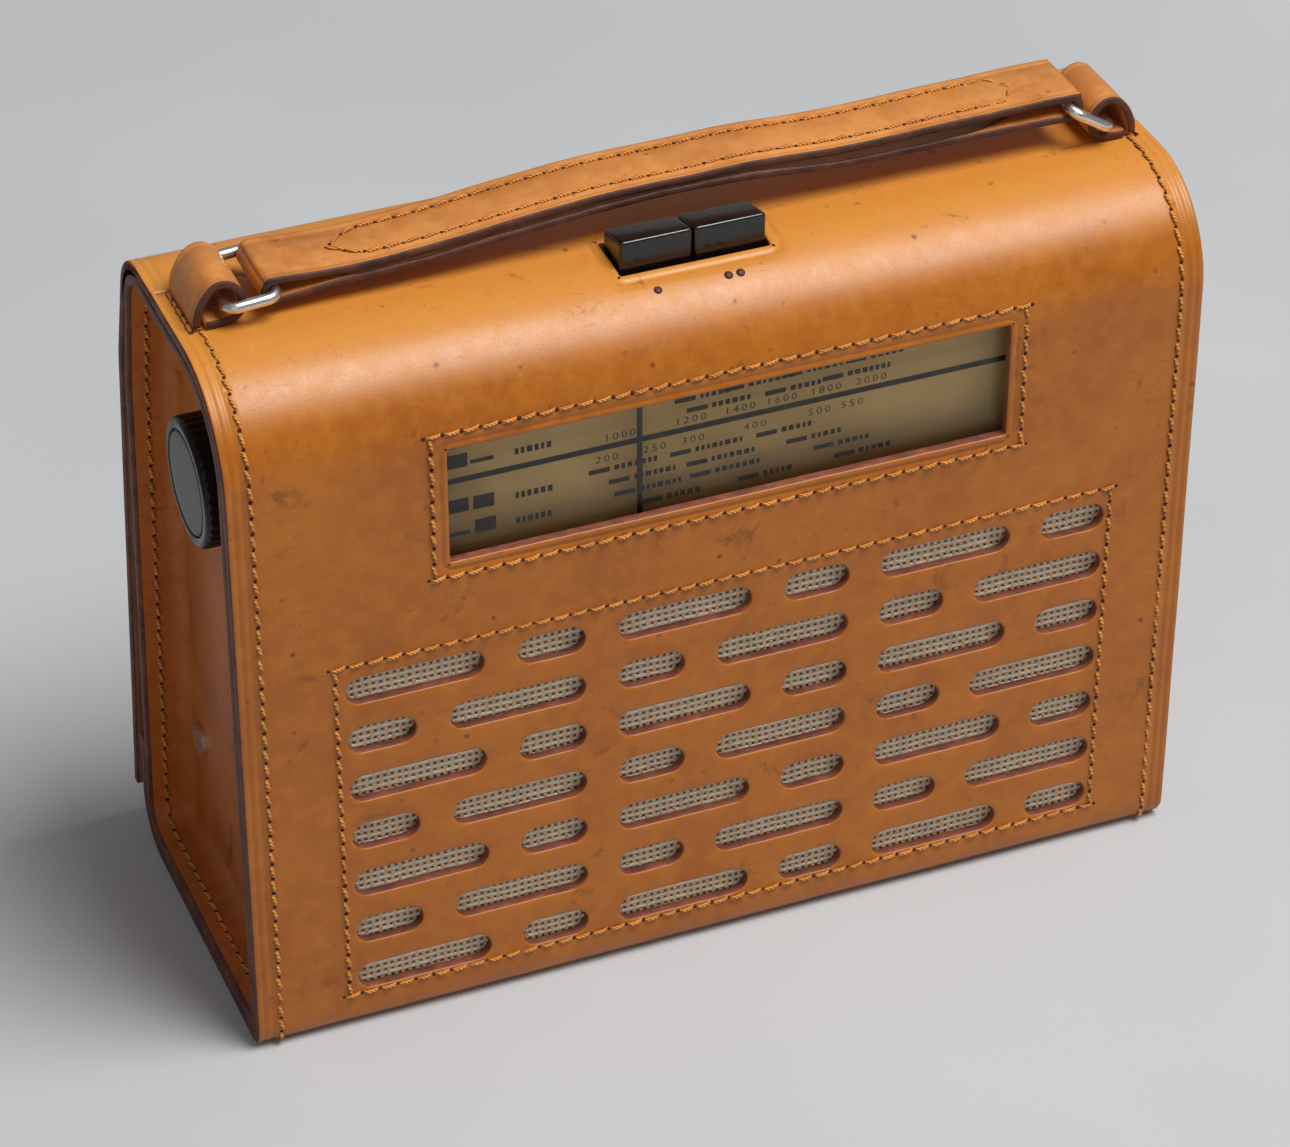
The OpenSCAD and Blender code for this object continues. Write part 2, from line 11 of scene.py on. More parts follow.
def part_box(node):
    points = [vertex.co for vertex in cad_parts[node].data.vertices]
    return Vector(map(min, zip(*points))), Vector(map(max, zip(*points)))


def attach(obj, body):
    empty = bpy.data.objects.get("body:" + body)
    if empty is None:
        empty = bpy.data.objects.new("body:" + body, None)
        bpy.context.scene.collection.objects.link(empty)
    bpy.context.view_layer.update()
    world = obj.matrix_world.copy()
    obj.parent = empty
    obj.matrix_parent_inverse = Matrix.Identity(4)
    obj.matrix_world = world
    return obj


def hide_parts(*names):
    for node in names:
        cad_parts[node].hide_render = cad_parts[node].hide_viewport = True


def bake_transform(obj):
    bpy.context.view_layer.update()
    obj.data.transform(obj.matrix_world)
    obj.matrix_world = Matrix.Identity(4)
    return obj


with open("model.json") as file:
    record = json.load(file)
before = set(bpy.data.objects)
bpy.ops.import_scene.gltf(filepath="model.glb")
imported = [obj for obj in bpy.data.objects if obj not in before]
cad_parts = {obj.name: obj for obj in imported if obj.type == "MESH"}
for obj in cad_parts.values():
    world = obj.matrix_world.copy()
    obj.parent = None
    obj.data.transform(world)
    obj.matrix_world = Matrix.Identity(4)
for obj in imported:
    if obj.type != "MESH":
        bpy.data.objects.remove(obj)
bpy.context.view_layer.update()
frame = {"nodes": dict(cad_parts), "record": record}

# ---- sizes in millimetres, from the frame where a CAD node gives them ----

MM = 0.001


def span(node):
    """Lowest and highest corner of a CAD node, in millimetres."""
    low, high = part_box(node)
    return np.array(low) / MM, np.array(high) / MM


WRAP_LOW, WRAP_HIGH = span("leather_wrap")
HALF_W = WRAP_HIGH[0]
FRONT = WRAP_LOW[1]
TOP = WRAP_HIGH[2]
BACK = -FRONT
LEATHER = 3.2
FLAP_T = 2.9
LIP_TOP = 35                       # height of the lip behind the works
FLAP_EDGE = 12                     # height of the flap's lower edge
SPLIT_Y = 0.0                      # where the visual wrap meets the visual flap, on the flat top
SEAM_X = HALF_W - 6.3              # the row of stitches along each side
EDGE_ROUND = 0.7
WELD = 0.00002                     # metres
STRAP_ROUND = 0.5

# Case corners [y, z, radius], clockwise as seen from the left end.
BACK_BEND = (BACK - 22.4, 14, 14)
BASE_BEND = (FRONT + 6, 6, 6)
FRONT_BEND = (FRONT + 28, TOP - 28, 28)
TOP_BEND = (BACK - 40.8, TOP - 16, 16)
FLAP_KINK = (BACK - 37.6, TOP - 41.5, 20)
CASE_KINK = (BACK - 39.3, TOP - 44, 20)
FLAP_END = (BACK - 3.65, 0.5, 5)

SLOT_H, SLOT_LONG, SLOT_SHORT, SLOT_GAP = 8, 36.3, 18, 9
SLOT_START, TOP_ROW_Z, ROW_PITCH, ROWS = -102.2, 107.3, 15.2, 7
# x0, x1, z0, z1; heights above the front bend's start are lengths along the leather.
GRILLE_STITCH = (-104.9, 107.2, 11.2, 115.6)
WINDOW = (-74, 76, 139.5, 172.3)
WINDOW_STITCH = (-78.2, 80.2, 135.6, 176.9)
KEY_LOW, KEY_HIGH = span("left_key")[0], span("right_key")[1]
KEY_WINDOW = (KEY_LOW[0] - 0.6, KEY_HIGH[0] + 0.6, KEY_LOW[1] - 1.5, KEY_HIGH[1] + 2)
KNOB_LOW, KNOB_HIGH = span("volume_knob")
KNOB_R = (KNOB_HIGH[1] - KNOB_LOW[1]) / 2
KNOB_Y = (KNOB_HIGH[1] + KNOB_LOW[1]) / 2
KNOB_Z = (KNOB_HIGH[2] + KNOB_LOW[2]) / 2
STRAP_LOW, STRAP_HIGH = span("handle_strap")
HANDLE_Y = (STRAP_LOW[1] + STRAP_HIGH[1]) / 2
GLASS_BACK = span("dial_glass")[1][1]
KNOB_BORE = 5.5
RNG = random.Random(7)


# ---- mesh helpers ----

def add_object(name, data):
    obj = bpy.data.objects.new(name, data)
    bpy.context.scene.collection.objects.link(obj)
    return obj


def angles(count):
    """Evenly spaced angles once round a circle."""
    return np.linspace(0, 2 * math.pi, count + 1)[:-1]


def arc(centre, r, start, end, count):
    """Points on a circle between two angles in degrees."""
    return [(centre[0] + r * math.cos(a), centre[1] + r * math.sin(a))
            for a in np.radians(np.linspace(start, end, count))]


def between(p, q, steps):
    """The points, without the ends, that divide the line from p to q into equal steps."""
    return [tuple(a + (b - a) * k / steps for a, b in zip(p, q)) for k in range(1, steps)]


def unit(v):
    return v / np.linalg.norm(v)


def add_mesh(name, verts, faces, materials, face_material=None, smooth=True):
    """A mesh object from millimetre points, which remembers its rest position for its texture."""
    points = np.array(verts, float) * MM
    mesh = bpy.data.meshes.new(name)
    mesh.from_pydata([tuple(p) for p in points], [], [tuple(f) for f in faces])
    rest = mesh.attributes.new("rest", "FLOAT_VECTOR", "POINT")
    rest.data.foreach_set("vector", points.astype(np.float32).ravel())
    for m in materials:
        mesh.materials.append(m)
    if face_material is not None:
        mesh.polygons.foreach_set("material_index", list(face_material))
    mesh.polygons.foreach_set("use_smooth", [smooth] * len(mesh.polygons))
    mesh.validate()
    mesh.update()
    return add_object(name, mesh)


class Build:
    """Collects points and faces of several shapes that become one object."""

    def __init__(self):
        self.verts, self.faces, self.slots = [], [], []

    def add(self, verts, faces, slot=0):
        base = len(self.verts)
        self.verts += [tuple(v) for v in verts]
        self.faces += [tuple(i + base for i in f) for f in faces]
        self.slots += [slot] * len(faces)

    def loops(self, rings, slot=0, slots=None, caps=True):
        """Bridges closed rings of equal length; slots gives each bridge its material slot."""
        base, n = len(self.verts), len(rings[0])
        for ring in rings:
            self.verts += [tuple(p) for p in ring]
        for i in range(len(rings) - 1):
            for j in range(n):
                a, b = base + i * n + j, base + i * n + (j + 1) % n
                self.faces.append((a, b, b + n, a + n))
                self.slots.append(slots[i] if slots else slot)
        if caps:
            self.faces.append(tuple(base + j for j in reversed(range(n))))
            self.faces.append(tuple(base + (len(rings) - 1) * n + j for j in range(n)))
            self.slots += [slot, slot]

    def object(self, name, materials, smooth=True, join=0.0):
        """The collected shapes as one object; join welds points closer than that many metres."""
        obj = add_mesh(name, self.verts, self.faces, materials, self.slots, smooth)
        if join:
            weld(obj, join)
        return obj


def wobble(x, y, scale, seed=0.0):
    """Smooth noise between about -1 and 1."""
    return noise.noise(Vector((x / scale, y / scale, seed)))


# ---- the path of the leather round the case, in the YZ plane ----

def outer_normal(a, b):
    """Outward normal of the wall between two round corners, walking clockwise."""
    d = np.array([b[0] - a[0], b[1] - a[1]], float)
    length = np.hypot(*d)
    u = d / length
    s = (a[2] - b[2]) / length
    return np.array([-u[1], u[0]]) * math.sqrt(1 - s * s) + u * s


def turning(first, last, r, steps=None):
    """Unit vectors from first clockwise to last, in as many steps as a bend of radius r needs."""
    a0, a1 = (math.atan2(n[1], n[0]) for n in (first, last))
    if a1 > a0:
        a1 -= 2 * math.pi
    steps = steps or int((a0 - a1) * r / 3) + 6
    turned = [a0 + (a1 - a0) * k / steps for k in range(steps + 1)]
    return [np.array([math.cos(a), math.sin(a)]) for a in turned]


class Path:
    """Walls and round corners walked clockwise, measured by length along the outer face."""

    STEP = 0.05

    def __init__(self, corners):
        walls = [outer_normal(a, b) for a, b in zip(corners[:-1], corners[1:])]
        bends = [turning(a, b, c[2]) for a, b, c in zip(walls[:-1], walls[1:], corners[1:-1])]
        bends = [walls[:1], *bends, walls[-1:]]
        self.normals = np.array([n for bend in bends for n in bend])
        self.points = np.array([np.array((y, z)) + r * n
                                for (y, z, r), bend in zip(corners, bends) for n in bend])
        self.s = np.concatenate([[0], np.cumsum(np.hypot(*np.diff(self.points, axis=0).T))])

    def at(self, s, depth=0.0):
        """Point at length s, depth below the outer face."""
        y, z = (np.interp(s, self.s, self.points[:, i]) for i in (0, 1))
        n = self.normal(s)
        return y - n[0] * depth, z - n[1] * depth

    def normal(self, s):
        return unit(np.array([np.interp(s, self.s, self.normals[:, i]) for i in (0, 1)]))

    def find(self, test, start=0):
        """The first length along the path, from start on, where test(y, z) holds."""
        return next(s for s in np.arange(start, self.s[-1], self.STEP) if test(*self.at(s)))


CASE_PATH = Path([CASE_KINK, BACK_BEND, BASE_BEND, FRONT_BEND, TOP_BEND, FLAP_KINK, FLAP_END])
S_LIP = CASE_PATH.find(lambda y, z: z < LIP_TOP)
S_FRONT = CASE_PATH.find(lambda y, z: y < FRONT + 0.001 and z > 5.9)
S_SPLIT = CASE_PATH.find(lambda y, z: z > TOP - 0.01 and y > SPLIT_Y)
S_END = CASE_PATH.find(lambda y, z: z < FLAP_EDGE, S_SPLIT + 50)


def front_s(z):
    """Length along the path of a height on the flat front."""
    return S_FRONT + (z - CASE_PATH.at(S_FRONT)[1])


def top_s(y):
    """Length along the path of a depth on the top or its front bend."""
    return CASE_PATH.find(lambda at_y, z: at_y >= y, S_FRONT + 120)


def on_case(x, s, depth=0.0):
    """The point of the case at x and length s along the path."""
    y, z = CASE_PATH.at(s, depth)
    return (x, y, z)


# ---- outlines of the cuts, in (x, length along the path) ----

def slot_loop(x0, x1, s_mid, r, grow):
    """Stadium outline, counter-clockwise, with its straight sides divided."""
    right = arc((x1 - r, s_mid), r + grow, -90, 90, 11)
    left = arc((x0 + r, s_mid), r + grow, 90, 270, 11)
    steps = max(1, int((x1 - x0 - 2 * r) / 4))
    return right + between(right[-1], left[0], steps) + left + between(left[-1], right[0], steps)


def rect_loop(x0, x1, s0, s1, grow, corner=0.6):
    """Rectangle with small round corners, counter-clockwise, grown outwards."""
    centres = ((x1 - corner, s0 + corner), (x1 - corner, s1 - corner),
               (x0 + corner, s1 - corner), (x0 + corner, s0 + corner))
    rounds = [arc(c, corner + grow, 90 * i - 90, 90 * i, 5) for i, c in enumerate(centres)]
    loop = []
    for i, bend in enumerate(rounds):
        p, q = bend[-1], rounds[(i + 1) % 4][0]
        loop += bend + between(p, q, max(1, int(math.dist(p, q) / 3.5)))
    return loop


def grille_slots():
    """Ends and middle height of each slot; long and short ones alternate like bricks."""
    pair = SLOT_LONG + SLOT_SHORT + 2 * SLOT_GAP
    for row in range(ROWS):
        z = TOP_ROW_Z - row * ROW_PITCH
        for i in range(6):
            first, second = (SLOT_LONG, SLOT_SHORT) if row % 2 == 0 else (SLOT_SHORT, SLOT_LONG)
            x0 = SLOT_START + (i // 2) * pair + (i % 2) * (first + SLOT_GAP)
            yield x0, x0 + (second if i % 2 else first), z


# ---- leather sheets ----

def offset_line(line, closed, shift):
    """The line moved sideways by shift."""
    pts = np.array(line, float)
    before, after = np.roll(pts, 1, axis=0), np.roll(pts, -1, axis=0)
    if not closed:
        before[0], after[-1] = pts[0], pts[-1]
    d = after - before
    d /= np.hypot(*d.T)[:, None]
    return [(float(x), float(s)) for x, s in pts + shift * np.column_stack([d[:, 1], -d[:, 0]])]


def triangles(loops, inside, spacing, box, grooves=()):
    """Triangulates the area between loops, with a grid of points inside it.

    grooves are (line, closed, depth). Returns points, faces and each point's depth.
    """
    points, edges, depths = [], [], []
    for loop, closed, depth in [(loop, True, 0.0) for loop in loops] + list(grooves):
        base = len(points)
        points += loop
        depths += [depth] * len(loop)
        last = len(loop) if closed else len(loop) - 1
        edges += [(base + i, base + (i + 1) % len(loop)) for i in range(last)]
    rim = np.array(points)
    x0, x1, s0, s1 = box
    for s in np.arange(s0 + spacing, s1 - spacing * 0.5, spacing):
        for x in np.arange(x0 + spacing, x1 - spacing * 0.5, spacing):
            gap = np.min(np.abs(rim[:, 0] - x) + np.abs(rim[:, 1] - s))
            if inside(x, s) and gap > spacing * 0.55:
                points.append((float(x), float(s)))
                depths.append(0.0)
    found = geometry.delaunay_2d_cdt([Vector(p) for p in points], edges, [], 0, 1e-5)
    origin = [o[0] if o else None for o in found[3]]
    for i, where in enumerate(found[0]):
        if origin[i] is None:
            origin[i] = len(points)
            points.append((where.x, where.y))
            depths.append(0.0)
    faces = []
    for face in found[2]:
        ids = [origin[i] for i in face]
        x, s = np.array([points[i] for i in ids]).T
        if inside(x.mean(), s.mean()):
            area = x @ np.roll(s, -1) - s @ np.roll(x, -1)
            faces.append(ids if area > 0 else ids[::-1])
    return points, faces, depths


def leather_sheet(name, s0, s1, thickness, spacing, cuts=(), butt_start=False, butt_end=False):
    """A sheet of leather bent along the case path, with cuts through it and rounded edges.

    cuts is a list of (loop(grow), inside(x, s)). A butt end meets the next sheet without a round edge.
    """
    r = EDGE_ROUND
    face, outer_edge, cut_edge, flesh = range(4)

    def border(grow):
        low = s0 if butt_start else s0 - grow
        high = s1 if butt_end else s1 + grow
        return rect_loop(-HALF_W - grow, HALF_W + grow, low, high, 0, corner=0.3)

    loops = [border(-r)] + [cut(r) for cut, _ in cuts]
    grooves = []
    for line, closed in crease_lines(s0, s1):
        for shift, depth in ((-0.5, 0.0), (0.0, 0.4), (0.5, 0.0)):
            grooves.append((offset_line(line, closed, shift), closed, depth))

    def inside(x, s):
        if not (-HALF_W + r - 1e-6 <= x <= HALF_W - r + 1e-6 and s0 <= s <= s1):
            return False
        return not any(test(x, s) for _, test in cuts)

    points, faces, depths = triangles(loops, inside, spacing, (-HALF_W, HALF_W, s0, s1), grooves)
    skin = Build()

    def place(x, s, depth):
        ripple = 0.16 * wobble(x, s, 34) + 0.05 * wobble(x, s, 9, 3.0)
        fade = min(1, max(0, (min(s - s0, s1 - s)) / 12))
        return on_case(x, s, depth + (0.12 + ripple) * fade)

    skin.add([place(x, s, d) for (x, s), d in zip(points, depths)], faces, face)
    skin.add([place(x, s, thickness) for x, s in points], [f[::-1] for f in faces], flesh)
    profile = [(r, 0.0), (0.42 * r, 0.13 * r), (0.1 * r, 0.45 * r), (0, r),
               (0, thickness - r), (0.3 * r, thickness - 0.3 * r), (r, thickness)]
    walls = [(border, -1, [face] + [outer_edge] * 5)]
    walls += [(cut, 1, [face] * 2 + [cut_edge] * 4) for cut, _ in cuts]
    for outline, sign, slots in walls:
        rings = [[place(x, s, depth) for x, s in outline(sign * grow)[::-sign]]
                 for grow, depth in profile]
        skin.loops(rings, slots=slots, caps=False)
    return skin.object(name, (TAN, BURNISHED, CUT, FLESH), join=WELD)


def weld(obj, distance):
    """Joins points that lie together and turns every face outwards."""
    bm = bmesh.new()
    bm.from_mesh(obj.data)
    bmesh.ops.remove_doubles(bm, verts=bm.verts, dist=distance)
    bmesh.ops.recalc_face_normals(bm, faces=bm.faces)
    bm.to_mesh(obj.data)
    bm.free()


# ---- threads ----

def thread_line(build, holes, line, pitch, skew):
    """Stitches along a list of (point, normal). Each one rises from a hole and dives into the next.

    skew is how far, in degrees, a stitch turns from the line.
    """
    radius, bite = 0.52, 0.6
    pts = np.array([p for p, _ in line], float)
    nrm = np.array([n for _, n in line], float)
    s = np.concatenate([[0], np.cumsum(np.linalg.norm(np.diff(pts, axis=0), axis=1))])
    count = max(1, round(s[-1] / pitch))
    step = s[-1] / count

    def at(t):
        return np.array([np.interp(t, s, pts[:, i]) for i in range(3)])

    def normal_at(t):
        return unit(np.array([np.interp(t, s, nrm[:, i]) for i in range(3)]))

    for k in range(count):
        mid = (k + 0.5) * step
        a, b, n = at(mid - step * 0.48), at(mid + step * 0.48), normal_at(mid)
        side = np.cross(n, unit(b - a))
        tilt = math.radians(skew + RNG.uniform(-4, 4))
        length = np.linalg.norm(b - a) * RNG.uniform(0.94, 1.02)
        fat = radius * RNG.uniform(0.88, 1.1)
        rings = []
        for i in range(7):
            t = i / 6 * 2 - 1
            lift = fat * 0.75 - bite * abs(t) ** 3.5 * 1.7
            centre = (at(mid + t * length / 2) + normal_at(mid + t * length / 2) * lift
                      + side * (math.tan(tilt) * t * length / 2))
            width = fat * (1 - 0.35 * abs(t) ** 3)
            rings.append([centre + (side * math.cos(q) + n * math.sin(q)) * width
                          for q in angles(6)])
        build.loops(rings)
    for k in range(count + 1):
        c, n = at(k * step), normal_at(k * step)
        u = unit(at(min(s[-1], k * step + 0.5)) - at(max(0, k * step - 0.5)))
        side = np.cross(n, u)
        wide, tall = 0.55 * RNG.uniform(0.8, 1.15), 0.52 * RNG.uniform(0.8, 1.2)
        ring = [c + n * 0.05 + u * wide * math.cos(q) + side * tall * math.sin(q)
                for q in angles(8)]
        sunk = [c - n * 0.5 + (p - c) * 0.3 for p in ring]
        holes.loops([sunk, ring])


def case_line(points):
    """Surface line through (x, s) points, as (point, normal)."""
    line = []
    for (xa, sa), (xb, sb) in zip(points[:-1], points[1:]):
        steps = max(2, int(max(abs(xb - xa), abs(sb - sa)) / 1.5))
        for k in range(steps + 1):
            x, s = xa + (xb - xa) * k / steps, sa + (sb - sa) * k / steps
            n = CASE_PATH.normal(s)
            line.append((on_case(x, s, 0.1), (0, n[0], n[1])))
    return [p for i, p in enumerate(line) if i == 0 or p[0] != line[i - 1][0]]


def sewn(name, lines, body, pitch, skew=6):
    """Threads and their holes along several lines, as two pieces of one body; the holes are painted dark
    as shade.
    """
    threads, holes = Build(), Build()
    for line in lines:
        thread_line(threads, holes, line, pitch, skew)
    for build, end, look in ((threads, "_thread", THREAD), (holes, "_holes", HOLE_SHADE)):
        finish_piece(build.object(name + end, [look]), body, "strap_leather")


# ---- materials ----

def srgb(r, g, b):
    return tuple((c / 255 / 12.92) if c <= 10 else ((c / 255 + 0.055) / 1.055) ** 2.4
                 for c in (r, g, b)) + (1.0,)


def darker(color, factor):
    return tuple(c * factor for c in color[:3]) + (1.0,)


class Shader:
    """Writes a node tree as nested calls. Patterns are placed in millimetres.

    own is for pieces made here, whose meshes keep their rest position; CAD nodes don't have it.
    """

    def __init__(self, name, own=True):
        self.own = own
        self.material = bpy.data.materials.new(name)
        self.material.use_nodes = True
        self.tree = self.material.node_tree
        self.tree.nodes.clear()
        self.out = self.tree.nodes.new("ShaderNodeOutputMaterial")

    def node(self, kind, inputs, **settings):
        n = self.tree.nodes.new("ShaderNode" + kind)
        for key, value in settings.items():
            setattr(n, key, value)
        for key, value in inputs.items():
            if isinstance(value, bpy.types.NodeSocket):
                self.tree.links.new(value, n.inputs[key])
            else:
                n.inputs[key].default_value = value
        return n

    def place(self, cell, stretch=(1, 1, 1)):
        """Position on the piece, in cells of that many millimetres."""
        if self.own:
            source = self.node("Attribute", {}, attribute_name="rest").outputs["Vector"]
        else:
            source = self.node("TexCoord", {}).outputs["Object"]
        k = [1000 * v / cell for v in stretch]
        return self.node("VectorMath", {0: source, 1: k}, operation="MULTIPLY").outputs[0]

    def noise(self, cell, detail, rough=0.55, distort=0.0, stretch=(1, 1, 1)):
        where = self.place(cell, stretch)
        return self.node("TexNoise", {"Vector": where, "Scale": 1.0, "Detail": detail,
                                      "Roughness": rough, "Distortion": distort}).outputs["Fac"]

    def spots(self, cell):
        """Distance from the nearest of scattered points, one point to a cell."""
        return self.node("TexVoronoi", {"Vector": self.place(cell), "Scale": 1.0},
                         feature="F1").outputs["Distance"]

    def wave(self, cell, scale, direction, **inputs):
        return self.node("TexWave", {"Vector": self.place(cell), "Scale": scale, **inputs},
                         bands_direction=direction).outputs["Fac"]

    def steps(self, value, low, high, to_low=0.0, to_high=1.0):
        return self.node("MapRange", {"Value": value, "From Min": low, "From Max": high,
                                      "To Min": to_low, "To Max": to_high}).outputs["Result"]

    def math(self, kind, a, b=0.0):
        return self.node("Math", {0: a, 1: b}, operation=kind).outputs[0]

    def plus(self, a, b):
        return self.math("ADD", a, b)

    def times(self, a, b):
        return self.math("MULTIPLY", a, b)

    def off_half(self, value):
        return self.math("ABSOLUTE", self.math("SUBTRACT", value, 0.5))

    def mix(self, factor, a, b):
        return self.node("Mix", {0: factor, 6: a, 7: b}, data_type="RGBA").outputs[2]

    def bump(self, height, strength, distance):
        return self.node("Bump", {"Height": height, "Strength": strength,
                                  "Distance": distance}).outputs["Normal"]

    def surface(self, color, roughness, normal, metallic=0.0, specular=0.5, **extra):
        inputs = {"Base Color": color, "Roughness": roughness, "Normal": normal,
                  "Metallic": metallic, "Specular IOR Level": specular}
        inputs.update({k.replace("_", " "): v for k, v in extra.items()})
        bsdf = self.node("BsdfPrincipled", inputs)
        self.tree.links.new(bsdf.outputs[0], self.out.inputs["Surface"])
        return self.material


def leather(name, base, dark, light, roughness, wear=1.0, coat=0.12, top=None):
    """Smooth vegetable-tanned leather: cloudy dye, pores, specks, scratches and stains.

    top is a paler colour blended onto the case's upper side: painted light, as the overhead lamp lights
    the top more.
    """
    s = Shader(name)
    clouds = s.noise(38, 5, 0.6)
    mottle = s.noise(5.5, 6, 0.65)
    pores = s.spots(0.75)
    grain = s.noise(0.5, 3)
    specks = s.times(s.steps(s.spots(7.0), 0.15, 0.06), s.steps(mottle, 0.50, 0.60))
    hairlines = s.off_half(s.noise(11, 2, 0.4, 2.6, stretch=(0.4, 1, 1.5)))
    scratches = s.times(s.steps(hairlines, 0.010, 0.0), s.steps(clouds, 0.45, 0.6))
    stains = s.steps(s.noise(15, 7, 0.72, 0.6), 0.61, 0.68)
    color = s.mix(s.steps(clouds, 0.36, 0.66), dark, base)
    color = s.mix(s.steps(mottle, 0.42, 0.72, 0.0, 0.55), color, light)
    color = s.mix(s.steps(pores, 0.16, 0.02, 0.0, 0.22), color, dark)
    # Painted light: towards the top the colour blends to the paler top colour, as if lit more from
    # overhead.
    if top is not None:
        height_mm = s.node("SeparateXYZ", {0: s.place(1.0)}).outputs[2]
        color = s.mix(s.steps(height_mm, TOP - 13, TOP - 1, 0.0, 0.8), color, top)
    deep = (dark[0] * 0.34, dark[1] * 0.20, dark[2] * 0.25, 1.0)
    color = s.mix(s.times(specks, 0.75 * wear), color, deep)
    color = s.mix(s.times(scratches, 0.32 * wear), color, deep)
    color = s.mix(s.times(stains, 0.6 * wear), color, darker(dark, 0.42))
    rough = s.plus(s.steps(mottle, 0.3, 0.75, roughness - 0.07, roughness + 0.10),
                   s.steps(grain, 0.3, 0.7, -0.03, 0.04))
    height = s.plus(s.times(grain, 0.5),
                    s.plus(s.steps(pores, 0.0, 0.3, 0.0, 0.8), s.times(mottle, 1.1)))
    return s.surface(color, rough, s.bump(height, 0.22, 0.00018), specular=0.38,
                     Coat_Weight=coat, Coat_Roughness=0.35)


def edge_leather(name, light, dark):
    """Cut leather edge: fibres and dark patches."""
    s = Shader(name)
    fibres = s.noise(0.9, 5, 0.7, stretch=(0.35, 1, 1))
    color = s.mix(s.steps(s.noise(6, 4), 0.35, 0.65), dark, light)
    color = s.mix(s.steps(fibres, 0.34, 0.6, 0.45, 1.0), darker(dark, 0.5), color)
    return s.surface(color, s.steps(fibres, 0.3, 0.7, 0.45, 0.8), s.bump(fibres, 0.6, 0.0003))


def thread_material():
    """Waxed thread with a visible twist and some dirt."""
    s = Shader("stitch_thread")
    twist = s.wave(1.0, 0.55, "DIAGONAL", Distortion=0.8, Detail=1.0)
    color = s.mix(s.steps(twist, 0.1, 0.7), srgb(184, 106, 36), srgb(236, 166, 82))
    color = s.mix(s.steps(s.noise(11, 3), 0.34, 0.6, 0.4, 0.0), color, srgb(120, 66, 26))
    return s.surface(color, 0.48, s.bump(twist, 0.7, 0.0003), specular=0.4)


def metal(name, color, roughness, wear, own=False, stretch=(1, 1, 1)):
    """Metal with dull stains; stretch draws its fine marks out, as brushing does."""
    s = Shader(name, own)
    fine = s.noise(0.8, 4, 0.6, stretch=stretch)
    stains = s.noise(5, 5, 0.65)
    tint = s.mix(s.steps(stains, 0.42, 0.72, 0.0, wear), color, darker(color, 0.45))
    rough = s.plus(s.steps(stains, 0.3, 0.7, roughness * (1 - 0.5 * wear), roughness * (1 + wear)),
                   s.steps(fine, 0.3, 0.7, -0.03, 0.03))
    return s.surface(tint, rough, s.bump(fine, 0.15 * wear, 0.0001), metallic=1.0)


def plastic(name, color, roughness, dust=0.25, own=False, grain=0.5, metallic=0.0, coat=0.0,
            specular=0.5):
    """Moulded or painted surface with uneven gloss and dust."""
    s = Shader(name, own)
    smear = s.noise(8, 5, 0.65)
    pale = tuple(min(1, c * 1.5 + 0.035) for c in color[:3]) + (1.0,)
    tint = s.mix(s.steps(smear, 0.45, 0.75, 0.0, dust), color, pale)
    rough = s.steps(smear, 0.3, 0.7, roughness * 0.8, roughness * 1.35)
    return s.surface(tint, rough, s.bump(s.noise(grain, 3), 0.12, 0.0001), metallic, specular,
                     Coat_Weight=coat, Coat_Roughness=0.12)


def striped(name, one, two, pitch, direction, roughness, metallic=0.0):
    """Turns of wire, laminations or painted rings: fine stripes with bump."""
    s = Shader(name, own=False)
    wave = s.wave(pitch, 0.3142, direction, Distortion=0.3)
    color = s.mix(s.steps(wave, 0.2, 0.8), one, two)
    color = s.mix(s.steps(s.noise(6, 4), 0.5, 0.75, 0.0, 0.4), color, darker(one, 0.4))
    return s.surface(color, roughness, s.bump(wave, 0.6, 0.0003), metallic)


def cloth_material():
    """Coarse plain-weave grille cloth: warp and weft lift and sink over gaps painted near-black as shade;
    the weft is painted paler as glints.
    """
    s = Shader("grille_weave")
    warp_pitch, weft_pitch = 1.9, 2.1
    rest = s.node("SeparateXYZ", {0: s.place(1.0)}).outputs
    drift = s.noise(14, 3)
    u = s.plus(s.math("DIVIDE", rest[0], warp_pitch), s.times(drift, 0.9))
    v = s.plus(s.math("DIVIDE", rest[2], weft_pitch), s.times(drift, 0.7))
    warp = s.steps(s.off_half(s.math("FRACT", u)), 0.41, 0.16)
    weft = s.steps(s.off_half(s.math("FRACT", v)), 0.42, 0.16)
    crossing = s.plus(s.math("FLOOR", u), s.math("FLOOR", v))
    warp_over = s.math("GREATER_THAN", s.math("ABSOLUTE", s.math("MODULO", crossing, 2.0)), 0.5)
    warp_height = s.times(warp, s.plus(0.62, s.times(warp_over, 0.25)))
    weft_height = s.times(weft, s.math("SUBTRACT", 1.0, s.times(warp_over, 0.25)))
    height = s.math("MAXIMUM", warp_height, weft_height)
    is_weft = s.math("GREATER_THAN", weft_height, warp_height)
    fibre = s.noise(0.35, 3, 0.7)
    warp_color = s.mix(s.steps(fibre, 0.35, 0.65), srgb(240, 190, 138), srgb(255, 222, 176))
    # Painted glints: the weft floats are painted paler than the warp, as if catching the overhead light.
    weft_glint_color = s.mix(s.steps(fibre, 0.35, 0.62), srgb(255, 232, 192), srgb(255, 250, 234))
    color = s.mix(is_weft, warp_color, weft_glint_color)
    color = s.mix(s.steps(s.noise(4.5, 4), 0.4, 0.7, 0.0, 0.2), color, srgb(96, 72, 48))
    # Painted shade: near-black where the threads sink, in the gaps between them.
    color = s.mix(s.steps(height, 0.08, 0.30), srgb(24, 16, 10), color)
    rough = s.mix(is_weft, (0.55, 0.55, 0.55, 1), (0.22, 0.22, 0.22, 1))
    return s.surface(color, rough, s.bump(s.plus(height, s.times(fibre, 0.25)), 1.0, 0.0010),
                     specular=1.0)


